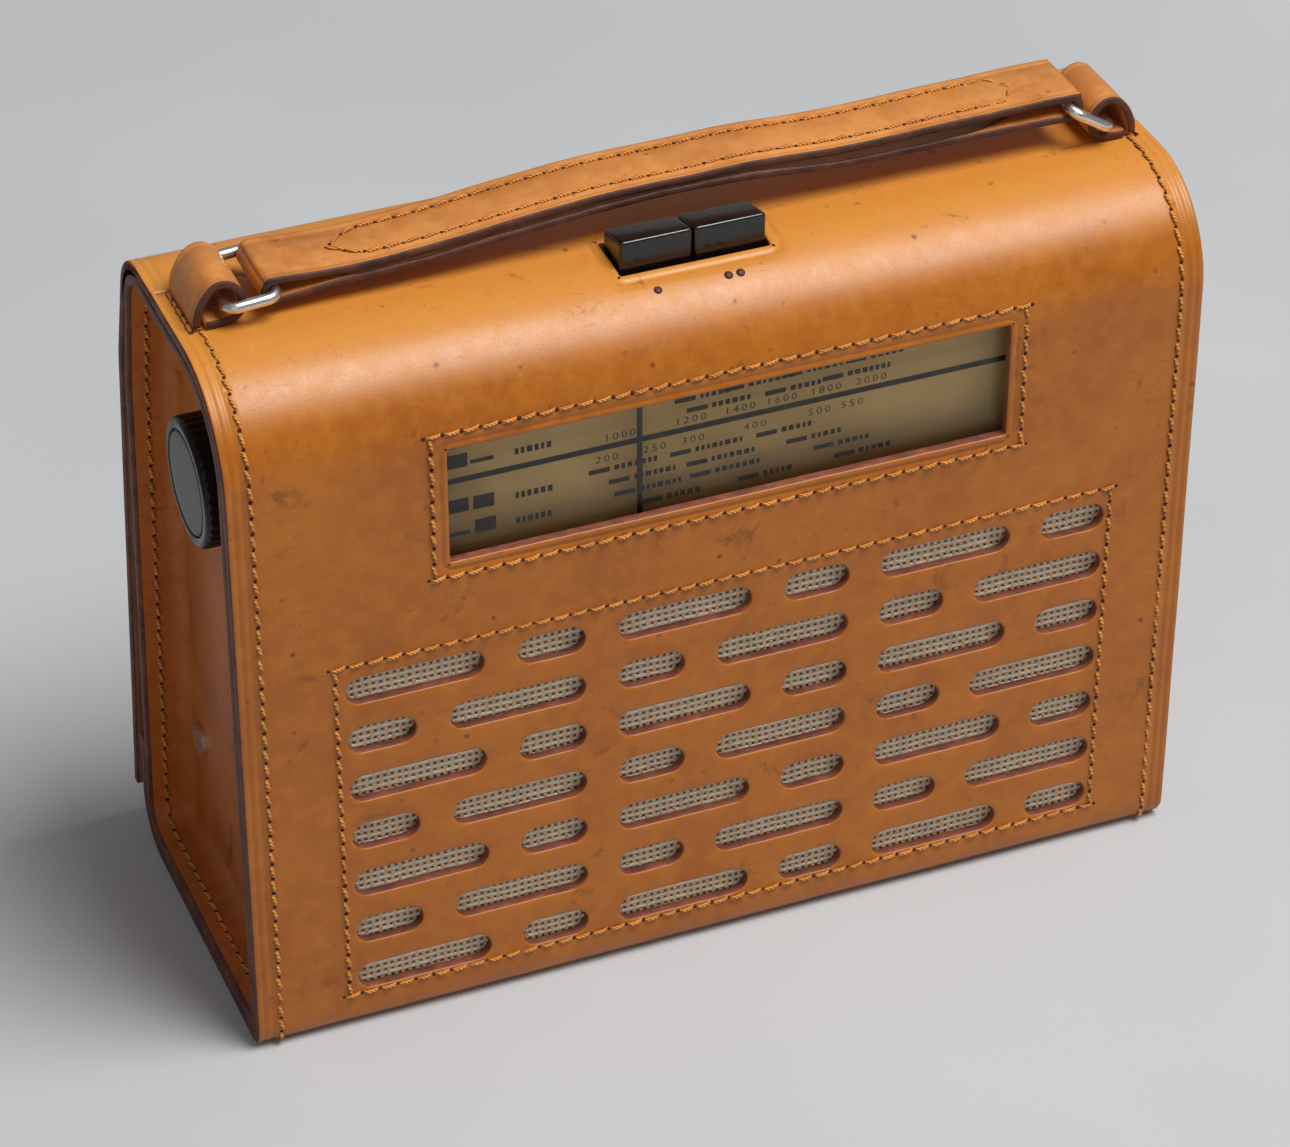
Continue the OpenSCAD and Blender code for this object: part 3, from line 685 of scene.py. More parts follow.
def glass_material():
    """Clear window: mirrors at a glancing angle, with a film of dust."""
    s = Shader("window_glass", own=False)
    clear = s.node("BsdfTransparent", {"Color": (0.93, 0.93, 0.90, 1)}).outputs[0]
    mirror = s.node("BsdfGlossy", {"Color": (1, 1, 1, 1), "Roughness": 0.05}).outputs[0]
    film = s.node("BsdfDiffuse", {"Color": srgb(190, 180, 160)}).outputs[0]
    fresnel = s.node("Fresnel", {"IOR": 1.25}).outputs[0]
    shine = s.node("MixShader", {0: fresnel, 1: clear, 2: mirror}).outputs[0]
    dust = s.times(s.steps(s.noise(2.2, 6, 0.75), 0.56, 0.80),
                   s.steps(s.noise(30, 2), 0.3, 0.7, 0.01, 0.035))
    both = s.node("MixShader", {0: dust, 1: shine, 2: film}).outputs[0]
    s.tree.links.new(both, s.out.inputs["Surface"])
    return s.material


def dial_material():
    """Olive-gold paint with soft clouds and small marks."""
    s = Shader("dial_paint", own=False)
    grain = s.noise(0.5, 3, 0.7, stretch=(0.25, 1, 1))
    cloud = s.steps(s.noise(26, 4, stretch=(1, 1, 0.6)), 0.3, 0.7)
    color = s.mix(cloud, srgb(242, 194, 120), srgb(255, 212, 144))
    color = s.mix(s.steps(grain, 0.35, 0.7, 0.0, 0.15), color, srgb(250, 216, 162))
    color = s.mix(s.steps(s.noise(1.6, 5, 0.75), 0.60, 0.85, 0.0, 0.25), color, srgb(168, 132, 90))
    return s.surface(color, 0.5, s.bump(grain, 0.2, 0.0001), specular=0.2)


# The top colour paints light onto the upper side of the front leather.
TAN = leather("leather_front", srgb(178, 101, 16), srgb(160, 86, 10), srgb(190, 115, 26), 0.38,
              coat=0.14, top=srgb(214, 142, 58))
GUSSET = leather("leather_gusset", srgb(192, 106, 32), srgb(162, 80, 20), srgb(202, 118, 40), 0.55, 1.3)
STRAP = leather("leather_strap", srgb(206, 134, 66), srgb(178, 106, 46), srgb(218, 150, 82), 0.45, 0.8)
DARK = leather("leather_dark", srgb(84, 46, 22), srgb(50, 26, 12), srgb(104, 60, 30), 0.6)
FLESH = leather("leather_inner_face", srgb(150, 104, 70), srgb(120, 80, 52), srgb(172, 126, 90), 0.8,
                0.5, coat=0.0)
CUT = edge_leather("cut_edge_raw", srgb(150, 84, 58), srgb(112, 58, 40))
BURNISHED = edge_leather("cut_edge_dark", srgb(124, 62, 36), srgb(74, 34, 22))
PLY = edge_leather("strap_edge", srgb(98, 50, 30), srgb(56, 28, 20))
THREAD = thread_material()
# Painted shade: the stitch holes are dark brown, as the shade inside them.
HOLE_SHADE = plastic("stitch_hole_shade", srgb(66, 30, 12), 0.9, 0.1, own=True)
DISC = metal("knob_satin", (0.07, 0.07, 0.069, 1), 0.42, 0.05, own=True)
KNOB = plastic("knob_black", srgb(13, 10, 8), 0.3, 0.04, own=True, specular=0.3)
KEY = plastic("key_black", srgb(18, 12, 9), 0.17, 0.05, own=True, coat=0.25)
CLOTH = cloth_material()
PRINT = plastic("dial_print", srgb(22, 16, 13), 0.7, 0.05, own=True)
PRINT_PALE = plastic("dial_print_block", srgb(34, 26, 21), 0.7, 0.1, own=True)

CAD_LOOKS = {
    "case_leather": TAN, "gusset_leather": GUSSET, "strap_leather": STRAP, "dark_leather": DARK,
    "grille_cloth": CLOTH, "knob_plastic": KNOB, "knob_metal": DISC, "key_plastic": KEY,
    "dial_glass": glass_material(), "dial_plate": dial_material(),
    "nickel": metal("nickel_wire", (0.80, 0.78, 0.74, 1), 0.27, 0.3),
    "bright_steel": metal("turned_steel", (0.62, 0.61, 0.59, 1), 0.25, 0.3),
    "chassis_metal": metal("chassis_plate", (0.55, 0.54, 0.51, 1), 0.42, 0.5, stretch=(0.2, 1, 1)),
    "vane_metal": metal("vane_plate", (0.66, 0.63, 0.55, 1), 0.35, 0.4),
    "magnet": metal("magnet_iron", (0.30, 0.29, 0.28, 1), 0.5, 0.6),
    "brass": metal("brass_parts", (0.72, 0.53, 0.26, 1), 0.3, 0.5),
    "can_metal": metal("can_zinc", (0.66, 0.66, 0.64, 1), 0.3, 0.4),
    "hardboard": plastic("raw_board", srgb(96, 70, 46), 0.85, 0.6, grain=1.2),
    "black_plastic": plastic("black_trim", srgb(24, 21, 19), 0.45),
    "pointer_paint": plastic("pointer_black", srgb(18, 16, 15), 0.4),
    "drum_plastic": plastic("drum_cream", srgb(206, 196, 168), 0.4, 0.5),
    "switch_plastic": plastic("switch_brown", srgb(70, 46, 30), 0.45, 0.4),
    "speaker_metal": plastic("speaker_enamel", srgb(62, 64, 60), 0.4, 0.4, metallic=0.3),
    "speaker_paper": plastic("cone_paper", srgb(46, 40, 34), 0.95, 0.5, grain=0.9),
    "transistor_paint": plastic("transistor_black", srgb(30, 31, 33), 0.35, 0.2),
    "capacitor_sleeve": plastic("capacitor_blue", srgb(54, 76, 112), 0.3, 0.4),
    "ferrite": plastic("ferrite_grey", srgb(56, 54, 54), 0.6, 0.4),
    "battery_tray": plastic("tray_grey", srgb(88, 84, 76), 0.5, 0.5),
    "battery_case": plastic("cell_jacket", srgb(150, 54, 40), 0.35, 0.4),
    "cord": striped("twisted_cord", srgb(60, 50, 38), srgb(110, 92, 66), 0.8, "DIAGONAL", 0.7),
    "board_laminate": striped("board_paper", srgb(122, 74, 34), srgb(140, 90, 46), 6.0, "Y", 0.5),
    "resistor_body": striped("resistor_bands", srgb(168, 126, 82), srgb(92, 48, 30), 3.2, "X", 0.5),
    "transformer_core": striped("laminations", srgb(74, 70, 64), srgb(104, 98, 88), 0.9, "Y", 0.45, 0.6),
    "coil_winding": striped("coil_turns", srgb(150, 84, 36), srgb(206, 134, 70), 0.9, "X", 0.3),
}


def dress_cad():
    """Gives every CAD node the detailed material of its slot."""
    slot_of = {p["node"]: p["material_slot"] for p in frame["record"]["subparts"]}
    for node, obj in frame["nodes"].items():
        for s in obj.material_slots:
            s.material = CAD_LOOKS[slot_of[node]]


def finish_piece(obj, body, slot, *nodes):
    """Says which body the piece rides on, and hides the CAD nodes it stands in for; slot is not used."""
    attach(obj, body)
    if nodes:
        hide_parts(*nodes)


# ---- the leather wrap and rear flap ----

def slot_cut(x0, x1, z):
    """A slot as (outline grown by a distance, test for points inside it)."""
    mid, r = front_s(z), SLOT_H / 2

    def test(x, s):
        nearest = min(max(x, x0 + r), x1 - r)
        return math.hypot(x - nearest, s - mid) < r + EDGE_ROUND - 1e-4

    return (lambda grow: slot_loop(x0, x1, mid, r, grow)), test


def rect_cut(x0, x1, s0, s1):
    """A rectangular window, in the same form as slot_cut."""
    grow = EDGE_ROUND - 1e-4

    def test(x, s):
        return x0 - grow < x < x1 + grow and s0 - grow < s < s1 + grow

    return (lambda distance: rect_loop(x0, x1, s0, s1, distance)), test


KEY_S0, KEY_S1 = top_s(KEY_WINDOW[2]), top_s(KEY_WINDOW[3])
WINDOW_S0, WINDOW_S1 = front_s(WINDOW[2]), front_s(WINDOW[3])


def crease_lines(s0, s1):
    """Creases pressed into the leather, as (line, closed): two by each side, one round each window."""
    spacing, margin = 2.5, 2.5
    length = s1 - s0 - 2 * margin
    steps = int(length / spacing)
    lines = []
    for inset in (2.0, 4.3):
        for side in (-1, 1):
            x = side * (HALF_W - inset)
            lines.append(([(x, s0 + margin + length * k / steps) for k in range(steps + 1)], False))
    has_windows = s0 < KEY_S0 < s1
    if has_windows:
        lines.append((rect_loop(WINDOW[0], WINDOW[1], WINDOW_S0, WINDOW_S1, 2.0, corner=1.2), True))
        lines.append((rect_loop(KEY_WINDOW[0], KEY_WINDOW[1], KEY_S0, KEY_S1, 2.6, corner=1.2), True))
    return lines


def build_wrap():
    """The strip under, in front of and over the works, with its slots and windows."""
    cuts = [slot_cut(*hole) for hole in grille_slots()]
    cuts.append(rect_cut(WINDOW[0], WINDOW[1], WINDOW_S0, WINDOW_S1))
    cuts.append(rect_cut(KEY_WINDOW[0], KEY_WINDOW[1], KEY_S0, KEY_S1))
    wrap = leather_sheet("wrap_leather", S_LIP, S_SPLIT, LEATHER, 2.6, cuts, butt_end=True)
    finish_piece(wrap, "case", "case_leather", "leather_wrap")


def build_flap():
    """The rear flap; the real one bends between two depths on the top when it opens, but this piece is
    built at rest and doesn't bend.
    """
    flap = leather_sheet("flap_leather", S_SPLIT, S_END, FLAP_T, 3.0, butt_start=True)
    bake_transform(flap)
    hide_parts("back_flap")


# ---- dished end panels ----

CLOSED = [BASE_BEND, FRONT_BEND, TOP_BEND, CASE_KINK, BACK_BEND]


STEPS_BETWEEN = (18, 8, 22, 26, 14)


def closed_ring(inset):
    """The case outline moved inwards, as points and normals; every ring has the same count."""
    smallest = 2.5
    arcs = []
    for i, c in enumerate(CLOSED):
        n0, n1 = outer_normal(CLOSED[i - 1], c), outer_normal(c, CLOSED[(i + 1) % len(CLOSED)])
        r = max(c[2] - inset, smallest)
        centre = np.array(c[:2]) + np.linalg.solve(np.array([n0, n1]), np.full(2, c[2] - inset - r))
        arcs.append([(centre + r * n, n) for n in turning(n0, n1, r, steps=12)])
    ring = []
    for i, bend in enumerate(arcs):
        (p, n), (q, _) = bend[-1], arcs[(i + 1) % len(arcs)][0]
        ring += bend + [(np.array(m), n) for m in between(p, q, STEPS_BETWEEN[i])]
    return [p for p, _ in ring], [n for _, n in ring]


def panel_fill(build, x, inset, side, slot, bulge):
    """A flat or slightly uneven end panel with a hole for the knob's shaft."""
    poly = np.array(closed_ring(inset)[0])
    hole = [(y, z) for _, y, z in knob_ring(0, KNOB_BORE, 24)]

    def inside(y, z):
        if math.hypot(y - KNOB_Y, z - KNOB_Z) < KNOB_BORE:
            return False
        a, b = poly, np.roll(poly, -1, axis=0)
        crossing = (a[:, 1] > z) != (b[:, 1] > z)
        with np.errstate(divide="ignore", invalid="ignore"):
            at = a[:, 0] + (z - a[:, 1]) * (b[:, 0] - a[:, 0]) / (b[:, 1] - a[:, 1])
        return bool(np.count_nonzero(crossing & (at > y)) % 2)

    loops = [[tuple(p) for p in poly], hole]
    points, faces, _ = triangles(loops, inside, 4.5, (-55, 55, 0, TOP))
    verts = []
    for y, z in points:
        edge = np.min(np.hypot(poly[:, 0] - y, poly[:, 1] - z))
        swell = bulge * min(1, edge / 15) * wobble(y, z, 45, side * 5.0)
        verts.append((side * (x - swell), y, z))
    build.add(verts, faces, slot)


def knob_ring(x, r, count):
    """A circle round the knobs' axis."""
    return [(x, KNOB_Y + r * math.cos(a), KNOB_Z + r * math.sin(a)) for a in angles(count)]


def build_gussets():
    """End panels: (inset from the case outline, x) from the inner face, over the rim, to the floor."""
    profile = [(4.3, 114.3), (3.5, 114.6), (3.25, 115.6), (3.25, 128.9), (3.33, 129.4), (3.6, 129.85),
               (4.1, 130.0), (5.6, 130.0), (6.1, 129.85), (6.37, 129.4), (6.45, 128.9), (6.45, 122.2)]
    fold = 4.4
    profile += arc((6.45 + fold, 122.0), fold, 180, 270, 9)[1:]
    (inner_inset, inner_x), (outer_inset, outer_x) = profile[0], profile[-1]
    face, burnished, flesh = range(3)
    rim = [burnished if 2 < i < 10 else face for i in range(len(profile) - 1)]
    for side, node in ((-1, "left_gusset"), (1, "right_gusset")):
        shell = Build()
        rings = [[(side * x, p[0], p[1]) for p in closed_ring(inset)[0]] for inset, x in profile]
        shell.loops(rings, slots=rim, caps=False)
        panel_fill(shell, outer_x, outer_inset, side, face, bulge=0.35)
        panel_fill(shell, inner_x, inner_inset, side, flesh, bulge=0.0)
        tube = [knob_ring(side * x, KNOB_BORE, 24) for x in (inner_x, outer_x)]
        shell.loops(tube, slot=burnished, caps=False)
        obj = shell.object(node + "_leather", [GUSSET, BURNISHED, FLESH], join=1.5 * WELD)
        finish_piece(obj, "case", "gusset_leather", node)


# ---- straps, brackets and other bands ----

def section(width, thick, groove):
    """Cross-section of a strap: points (across, out) and, for each, whether it's on a side edge.

    The outer face has a creased line by each edge, groove deep.
    """
    w, t, e = width / 2, thick / 2, STRAP_ROUND
    corner = [(w - 0.3 * e, t - 0.3 * e), (w, t - e)]
    half_top = [(w - e, t), (w - e - 0.4, t), (w - 1.7, t), (w - 2.1, t - groove), (w - 2.5, t)]
    top = half_top + [(0, t)] + [(-x, out) for x, out in reversed(half_top)]
    left = [(-x, out) for x, out in corner] + [(-x, -out) for x, out in reversed(corner)]
    bottom = [(-w + e, -t), (-w + e + 0.4, -t), (0, -t), (w - e - 0.4, -t), (w - e, -t)]
    right = [(-x, -out) for x, out in left]
    outline = top + left + bottom + right
    first, second = len(top), len(top) + len(left) + len(bottom)
    edge = [first - 1 <= i < first + 4 or i >= second - 1 for i in range(len(outline))]
    return outline, edge


def smooth_curve(points, per=6, closed=False):
    """Catmull-Rom curve through 2-D points."""
    pts = [np.array(p, float) for p in points]
    n = len(pts)
    out = []
    count = n if closed else n - 1
    for i in range(count):
        p1, p2 = pts[i], pts[(i + 1) % n]
        p0 = pts[i - 1] if closed or i > 0 else p1 * 2 - p2
        p3 = pts[(i + 2) % n] if closed or i + 2 < n else p2 * 2 - p1
        for k in range(per):
            t = k / per
            out.append(0.5 * (2 * p1 + (p2 - p0) * t + (2 * p0 - 5 * p1 + 4 * p2 - p3) * t * t
                              + (3 * p1 - p0 - 3 * p2 + p3) * t ** 3))
    if not closed:
        out.append(pts[-1])
    return out


def band(name, curve, width, thick, groove, wave, closed=False):
    """A strap along a curve in the XZ plane, centred on the handle; wave is its unevenness."""
    outline, edge = section(width, thick, groove)
    n = len(curve)
    rings = []
    for i, p in enumerate(curve):
        a = curve[i - 1] if closed or i > 0 else p
        b = curve[(i + 1) % n] if closed or i + 1 < n else p
        d = unit(b - a)
        normal = np.array([-d[1], d[0]])
        sway = wave * wobble(p[0], p[1], 18, 2.0)
        ring = []
        for w, t in outline:
            swell = 1 + wave * 0.25 * wobble(p[0], w, 7, 4.0)
            q = p + normal * t * swell
            ring.append((q[0], HANDLE_Y + w + sway, q[1]))
        rings.append(ring)
    strap = Build()
    if closed:
        rings.append(rings[0])
    strap.loops(rings, caps=not closed)
    strap.slots = [int(on_edge) for on_edge in edge] * (len(rings) - 1) + [0] * (0 if closed else 2)
    return strap.object(name, [STRAP, PLY], join=WELD)


# The strap in (x, height above the case top): its top face, its underside, and the pins it turns round.
PLY_T = 1.9
OVER = [(-88, 9.7), (-66, 10.7), (-44, 12.9), (-22, 14.8), (0, 15.1), (20, 15.5), (46, 14.3), (78, 15.1)]
UNDER = [(84, 8.3), (62, 8.1), (44, 8.2), (20, 10.2), (0, 10.6), (-22, 9.7), (-44, 7.7), (-66, 5.6),
         (-88, 4.5)]
LEFT_PIN, RIGHT_PIN = (-104.54, 6.7), (106.5, 11.7)
LOOP_R = 2.85


def strap_curve():
    """Closed mid-line of the strap's leather, once round both pins."""
    half = PLY_T / 2
    points = ([(x, z - half) for x, z in OVER] + arc(RIGHT_PIN, LOOP_R, 88, -88, 6)
              + [(x, z + half) for x, z in UNDER] + arc(LEFT_PIN, LOOP_R, 272, 92, 6))
    return [np.array((p[0], p[1] + TOP)) for p in smooth_curve(points, closed=True)]


def build_handle():
    """The folded strap and the filler between its plies, which narrows at both ends."""
    strap = band("strap_plies", strap_curve(), 20, PLY_T, groove=0.3, wave=0.35, closed=True)
    finish_piece(strap, "handle", "strap_leather", "handle_strap")
    core = Build()
    over = smooth_curve([(-96, 7.75)] + [(x, z - PLY_T - 0.1) for x, z in OVER] + [(91, 13.2)], 4)
    under = smooth_curve([(-96, 6.0)] + [(x, z + PLY_T + 0.1) for x, z in UNDER[::-1]] + [(91, 10.1)], 4)
    ux, uz = [p[0] for p in under], [p[1] for p in under]
    rings = []
    for p in over:
        if -97 < p[0] < 92:
            low = float(np.interp(p[0], ux, uz))
            rough = 0.35 * wobble(p[0], 0, 2.4, 9.0)
            end = max(0.0, -84 - p[0], p[0] - 80) / 12
            half = (9.55 + rough) * (1 - 0.45 * min(1.0, end))
            rings.append([(p[0], HANDLE_Y + y, TOP + z)
                          for y, z in ((-half, low), (half, low), (half, p[1]), (-half, p[1]))])
    core.loops(rings)
    finish_piece(core.object("strap_filler", [DARK], smooth=False), "handle", "dark_leather",
                 "handle_core")


def build_brackets():
    """Loops of strap round the rings' outer bars; the outline is the one at the left end."""
    loop = [(-124.6, 1.25), (-124.2, 4.4), (-122.4, 8.4), (-119.6, 11.2), (-116.6, 11.4), (-114.0, 9.4),
            (-113.0, 6.3), (-113.5, 3.4), (-115.6, 1.8), (-118.6, 1.25), (-122.4, 1.2)]
    for side, node in ((1, "left_handle_bracket"), (-1, "right_handle_bracket")):
        curve = [np.array((side * p[0], TOP + p[1])) for p in smooth_curve(loop, 5)]
        obj = band(node + "_loop", curve[::side], 20.2, 2.1, groove=0.25, wave=0.3)
        finish_piece(obj, "case", "strap_leather", node)


# ---- knobs and keys ----

def build_knob(side, body, knob, disc):
    """A fluted knob with a satin disc in its face; side is -1 for the left end."""
    face, back = HALF_W, -KNOB_HIGH[0]
    turns, flutes = 216, 36
    r_disc = KNOB_R - 3.6
    rim = [(r_disc + 0.5, face - 0.9), (r_disc + 0.55, face - 0.25), (r_disc + 0.8, face - 0.02),
           (KNOB_R - 1.5, face), (KNOB_R - 1.0, face - 0.12), (KNOB_R - 0.5, face - 0.6)]
    side_walls = [(KNOB_R - 0.05, face - 1.3), (KNOB_R, face - 1.8), (KNOB_R, back + 1.2),
                  (KNOB_R - 0.3, back + 0.4), (KNOB_R - 1.2, back), (3.2, back)]
    profile = [(0.6, face - 1.1), (r_disc + 0.4, face - 1.0)] + rim + side_walls
    body_mesh = Build()
    rings = []
    for r, x in profile:
        fluted = 1.0 if r > KNOB_R - 0.4 and face - x > 0.9 else 0.0
        ring = []
        for a in angles(turns):
            dent = fluted * 0.42 * (0.5 - 0.5 * math.cos(flutes * a)) ** 0.7
            ring.append((side * x, KNOB_Y + (r - dent) * math.cos(a), KNOB_Z + (r - dent) * math.sin(a)))
        rings.append(ring)
    body_mesh.loops(rings)
    finish_piece(body_mesh.object(knob + "_turned", [KNOB], join=WELD), body, "knob_plastic", knob)
    plate = Build()
    shape = [(r_disc, face - 1.0), (r_disc, face - 0.28), (r_disc - 0.12, face - 0.08),
             (r_disc - 0.35, face - 0.02), (r_disc - 0.9, face), (r_disc * 0.5, face), (0.3, face)]
    plate.loops([knob_ring(side * x, r, 96) for r, x in shape])
    finish_piece(plate.object(disc + "_turned", [DISC], join=WELD), body, "knob_metal", disc)


def build_keys():
    """Two keys with sloping tops, each on a stem."""
    base, slope, round_edge = 193.0, 2.6, 1.1
    faces = [(0, 3, 2, 1), (4, 5, 6, 7), (0, 1, 5, 4), (1, 2, 6, 5), (2, 3, 7, 6), (3, 0, 4, 7)]
    for node, body in (("left_key", "left_push_key"), ("right_key", "right_push_key")):
        (x0, y0, z0), (x1, y1, z1) = span(node)
        plan = ((x0, y0), (x1, y0), (x1, y1), (x0, y1))
        corners = [(x, y, base) for x, y in plan]
        corners += [(x, y, z1 - (slope if y == y1 else 0)) for x, y in plan]
        key = add_mesh(node + "_moulded", corners, faces, [KEY])
        bm = bmesh.new()
        bm.from_mesh(key.data)
        bmesh.ops.bevel(bm, geom=list(bm.edges), offset=round_edge * MM, segments=5, profile=0.55,
                        affect="EDGES")
        bm.to_mesh(key.data)
        bm.free()
        mid = (x0 + x1) / 2
        ring = [(mid - 3, y0 + 3), (mid + 3, y0 + 3), (mid + 3, y0 + 8), (mid - 3, y0 + 8)]
        stem = Build()
        stem.loops([[(x, y, z) for x, y in ring] for z in (z0, base + 0.5)])
        finish_piece(key, body, "key_plastic", node)
        finish_piece(stem.object(node + "_stem", [KEY], smooth=False), body, "key_plastic")


# ---- grille cloth and stitching ----

def build_cloth():
    """Grille cloth with a slight sag, seen through the slots."""
    low, high = span("grille_cloth")
    columns, rows = 110, 56
    sheet = Build()
    for y, turn in ((low[1], 1), (high[1], -1)):
        points, faces = [], []
        for j in range(rows + 1):
            for i in range(columns + 1):
                x = low[0] + (high[0] - low[0]) * i / columns
                z = low[2] + (high[2] - low[2]) * j / rows
                points.append((x, y + 0.2 + 0.15 * wobble(x, z, 26, 8.0), z))
                if i < columns and j < rows:
                    a = j * (columns + 1) + i
                    faces.append((a, a + 1, a + columns + 2, a + columns + 1)[::turn])
        sheet.add(points, faces)
    finish_piece(sheet.object("woven_cloth", [CLOTH]), "case", "grille_cloth", "grille_cloth")


def build_stitching():
    """Stitches round the grille and the dial window, and along both side seams."""
    past = 1.6                         # how far the long rows run past the corners
    rows, uprights = [], []
    for x0, x1, z0, z1 in (GRILLE_STITCH, WINDOW_STITCH):
        s0, s1 = front_s(z0), front_s(z1)
        rows += [case_line([(x0 - past, s), (x1 + past, s)]) for s in (s0, s1)]
        uprights += [case_line([(x, s0), (x, s1)]) for x in (x0, x1)]
    sewn("window_stitching", rows, "case", 4.9)
    sewn("window_side_stitching", uprights, "case", 4.5, skew=14)
    seams = [case_line([(side * SEAM_X, S_LIP + 2.5), (side * SEAM_X, S_SPLIT - 1.5)])
             for side in (-1, 1)]
    sewn("side_seams", seams, "case", 4.6, skew=12)


def build_gusset_stitching():
    """The back of the side seams, on the inner face of the folded edge."""
    points, normals = closed_ring(6.45)
    lines = [[((side * (HALF_W - 4.9), p[0], p[1]), (0, -n[0], -n[1]))
              for p, n in zip(points, normals)] for side in (-1, 1)]
    sewn("gusset_stitching", lines, "case", 4.6, skew=12)


def build_strap_stitching():
    """A pointed row round both faces of the strap, and a row by the foot of each bracket."""
    ends = {1: ((-100.0, TOP + 9.6), (100.0, TOP + 15.1)), -1: ((-100.0, TOP + 3.6), (100.0, TOP + 7.9))}
    plan = [(-88.5, 0), (-83, -4.6), (-79, -6), (90, -6), (94.5, 0), (90, 6), (-79, 6), (-83, 4.6),
            (-88.5, 0)]
    lines = []
    for up, knots in ((1, OVER), (-1, UNDER[::-1])):
        face = [ends[up][0], *smooth_curve([(x, z + TOP) for x, z in knots], 5), ends[up][1]]
        face_x, face_z = zip(*face)
        line = []
        for p, q in zip(plan[:-1], plan[1:]):
            for x, y in [p] + between(p, q, max(2, int(math.dist(p, q) / 1.5))):
                z = np.interp(x, face_x, face_z) + 0.06 * up
                line.append(((x, HANDLE_Y + y, z), (0, 0, up)))
        lines.append(line)
    sewn("strap_stitching", lines, "handle", 4.9)
    rows = [[((side * 126.2, HANDLE_Y + y, TOP + 0.05), (0, 0, 1)) for y in np.linspace(-9.6, 9.6, 14)]
            for side in (-1, 1)]
    sewn("bracket_stitching", rows, "case", 4.2)


# ---- dial print behind the glass ----

PRINT_Y = GLASS_BACK + 0.03


def plate_quad(build, x0, x1, z0, z1, slot=0):
    build.add([(x0, PRINT_Y, z0), (x1, PRINT_Y, z0), (x1, PRINT_Y, z1), (x0, PRINT_Y, z1)],
              [(0, 1, 2, 3)], slot)


def digits(build, text, x, z, height):
    """A number as flat mesh, spread wide like dial lettering."""
    curve = bpy.data.curves.new("digits_" + text, "FONT")
    curve.body, curve.size = text, height * MM / 0.72
    curve.space_character, curve.align_x, curve.resolution_u = 1.35, "CENTER", 2
    holder = add_object("digits_" + text, curve)
    mesh = holder.to_mesh()
    verts = [(x + v.co.x / MM * 1.15, PRINT_Y, z - height / 2 + v.co.y / MM) for v in mesh.vertices]
    build.add(verts, [tuple(p.vertices) for p in mesh.polygons])
    holder.to_mesh_clear()
    bpy.data.objects.remove(holder)
    bpy.data.curves.remove(curve)


def dashes(build, x, z, length, height):
    """Generic marks in place of a printed name."""
    at = x
    while at < x + length - 0.5:
        piece = RNG.uniform(0.8, 1.5)
        plate_quad(build, at, min(at + piece, x + length), z - height / 2, z + height / 2)
        at += piece + 0.6


def build_dial_print():
    """Scale line, numbers, blocks, and a short bar with dashes for each station's name."""
    ink, pale = Build(), 1
    plate_quad(ink, WINDOW[0] - 4, WINDOW[1] + 4, 158.85, 160.5, pale)
    upper = ((-27.5, "1000"), (-8.7, "1200"), (4.5, "1400"), (15.7, "1600"), (27.7, "1800"), (40, "2000"))
    lower = ((-31, "200"), (-18.3, "250"), (-8.1, "300"), (8.6, "400"), (26, "500"), (35, "550"))
    for x, text in upper:
        digits(ink, text, x, 162.4, 2.1)
    for x, text in lower:
        digits(ink, text, x, 156.4, 2.1)
    for x, z, wide, tall in ((-70, 165.2, 5.5, 4), (-63.5, 164.2, 6, 1.2), (-70, 152.2, 5.5, 4),
                             (-63.3, 152, 5.5, 4), (-70, 143.9, 6, 1.2), (-63, 145, 5.5, 4)):
        plate_quad(ink, x - wide / 2, x + wide / 2, z - tall / 2, z + tall / 2, pale)
    for x, z in ((-55, 164.3), (-55, 151.4), (-55, 143.9)):
        dashes(ink, x, z, 10, 1.8)
    bars = ((-33, 153), (-27.7, 149), (-26.3, 145), (-19, 141), (-11.4, 153), (-7, 149), (-6, 145.3),
            (7, 141.2), (11.8, 153), (20, 149), (27.4, 145.3), (33.2, 141.5),
            (-10.2, 168.4), (-7, 165), (2.7, 168.7), (14, 164.8), (18.4, 169), (29.5, 165.3), (35.7, 169))
    for x, z in bars:
        plate_quad(ink, x - 2.8, x + 2.8, z - 0.7, z + 0.7, pale)
        dashes(ink, x + 4, z + 0.1, RNG.uniform(8, 13), 1.5)
    finish_piece(ink.object("dial_print", [PRINT, PRINT_PALE], smooth=False), "case", "pointer_paint")


def build_key_dots():
    """Small pressed dots beside the keys in place of letters."""
    dots = Build()
    s = KEY_S0 - 6.5
    for x in (-13.5, 5.2, 8.4):
        rings = []
        for r, lift in ((1.15, 0.0), (0.95, 0.25), (0.55, 0.42), (0.15, 0.46)):
            ring = []
            for a in angles(16):
                y, z = CASE_PATH.at(s + r * math.sin(a), -lift + 0.12)
                ring.append((x + r * math.cos(a), y, z))
            rings.append(ring)
        dots.loops(rings)
    finish_piece(dots.object("key_dots", [DARK]), "case", "case_leather")


# ---- floor, light and camera ----

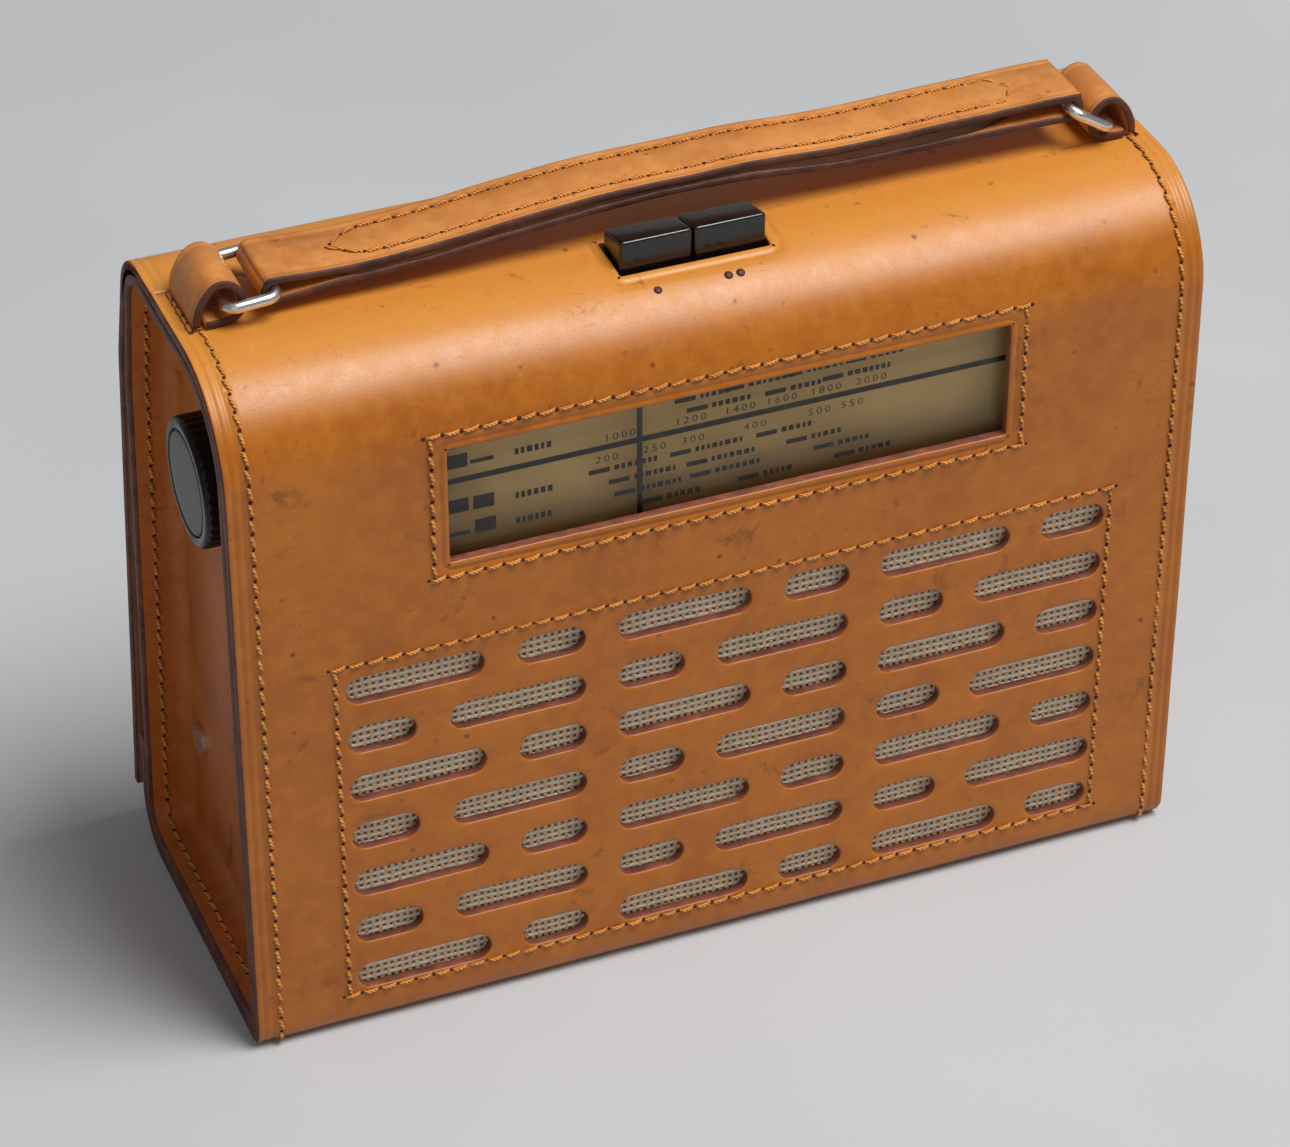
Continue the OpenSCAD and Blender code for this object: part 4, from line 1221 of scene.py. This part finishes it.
def build_floor():
    s = Shader("floor_paper", own=False)
    color = s.mix(s.steps(s.noise(220, 3), 0.35, 0.65), srgb(190, 192, 194), srgb(195, 197, 199))
    look = s.surface(color, 0.8, s.bump(s.noise(1.2, 4, 0.7), 0.05, 0.0002), specular=0.25)
    size = 2600
    floor = add_mesh("floor", [(-size, -size, -0.05), (size, -size, -0.05), (size, size, -0.05),
                               (-size, size, -0.05)], [(0, 1, 2, 3)], [look])


def area_light(name, where, target, size, power, tint=(1, 1, 1)):
    data = bpy.data.lights.new(name, "AREA")
    data.shape, data.size, data.energy, data.color = "DISK", size, power, tint
    light = add_object(name, data)
    light.location = where
    light.rotation_euler = (Vector(target) - Vector(where)).to_track_quat("-Z", "Y").to_euler()


def build_light():
    """A pale studio: one large soft light over the right end, and a weak one in front."""
    world = bpy.data.worlds.new("studio")
    world.use_nodes = True
    sky = world.node_tree.nodes["Background"]
    sky.inputs["Color"].default_value = (0.93, 0.96, 1.0, 1)
    sky.inputs["Strength"].default_value = 0.22
    bpy.context.scene.world = world
    bpy.context.scene.view_settings.view_transform = "Standard"
    area_light("overhead", (0.74, -0.84, 2.45), (0, -0.02, 0.12), 1.5, 74, (1.0, 0.985, 0.97))
    area_light("front_fill", (-1.3, -2.4, 1.4), (0, 0, 0.1), 1.8, 4.5)


def build_camera():
    """A long lens, high and to the left of the front."""
    data = bpy.data.cameras.new("camera")
    data.lens, data.sensor_width = 129.32, 36
    data.clip_start, data.clip_end = 0.05, 20
    camera = add_object("camera", data)
    camera.location = (-0.3771, -0.92754, 0.7912)
    look = Vector((0.3065, 0.7560, -0.5784))
    camera.rotation_euler = look.to_track_quat("-Z", "Y").to_euler()
    bpy.context.scene.camera = camera


dress_cad()
build_wrap()
build_flap()
build_gussets()
build_handle()
build_brackets()
build_knob(-1, "volume", "volume_knob", "volume_knob_disc")
build_knob(1, "tuning", "tuning_knob", "tuning_knob_disc")
build_keys()
build_cloth()
build_stitching()
build_gusset_stitching()
build_strap_stitching()
build_dial_print()
build_key_dots()
build_floor()
build_light()
build_camera()
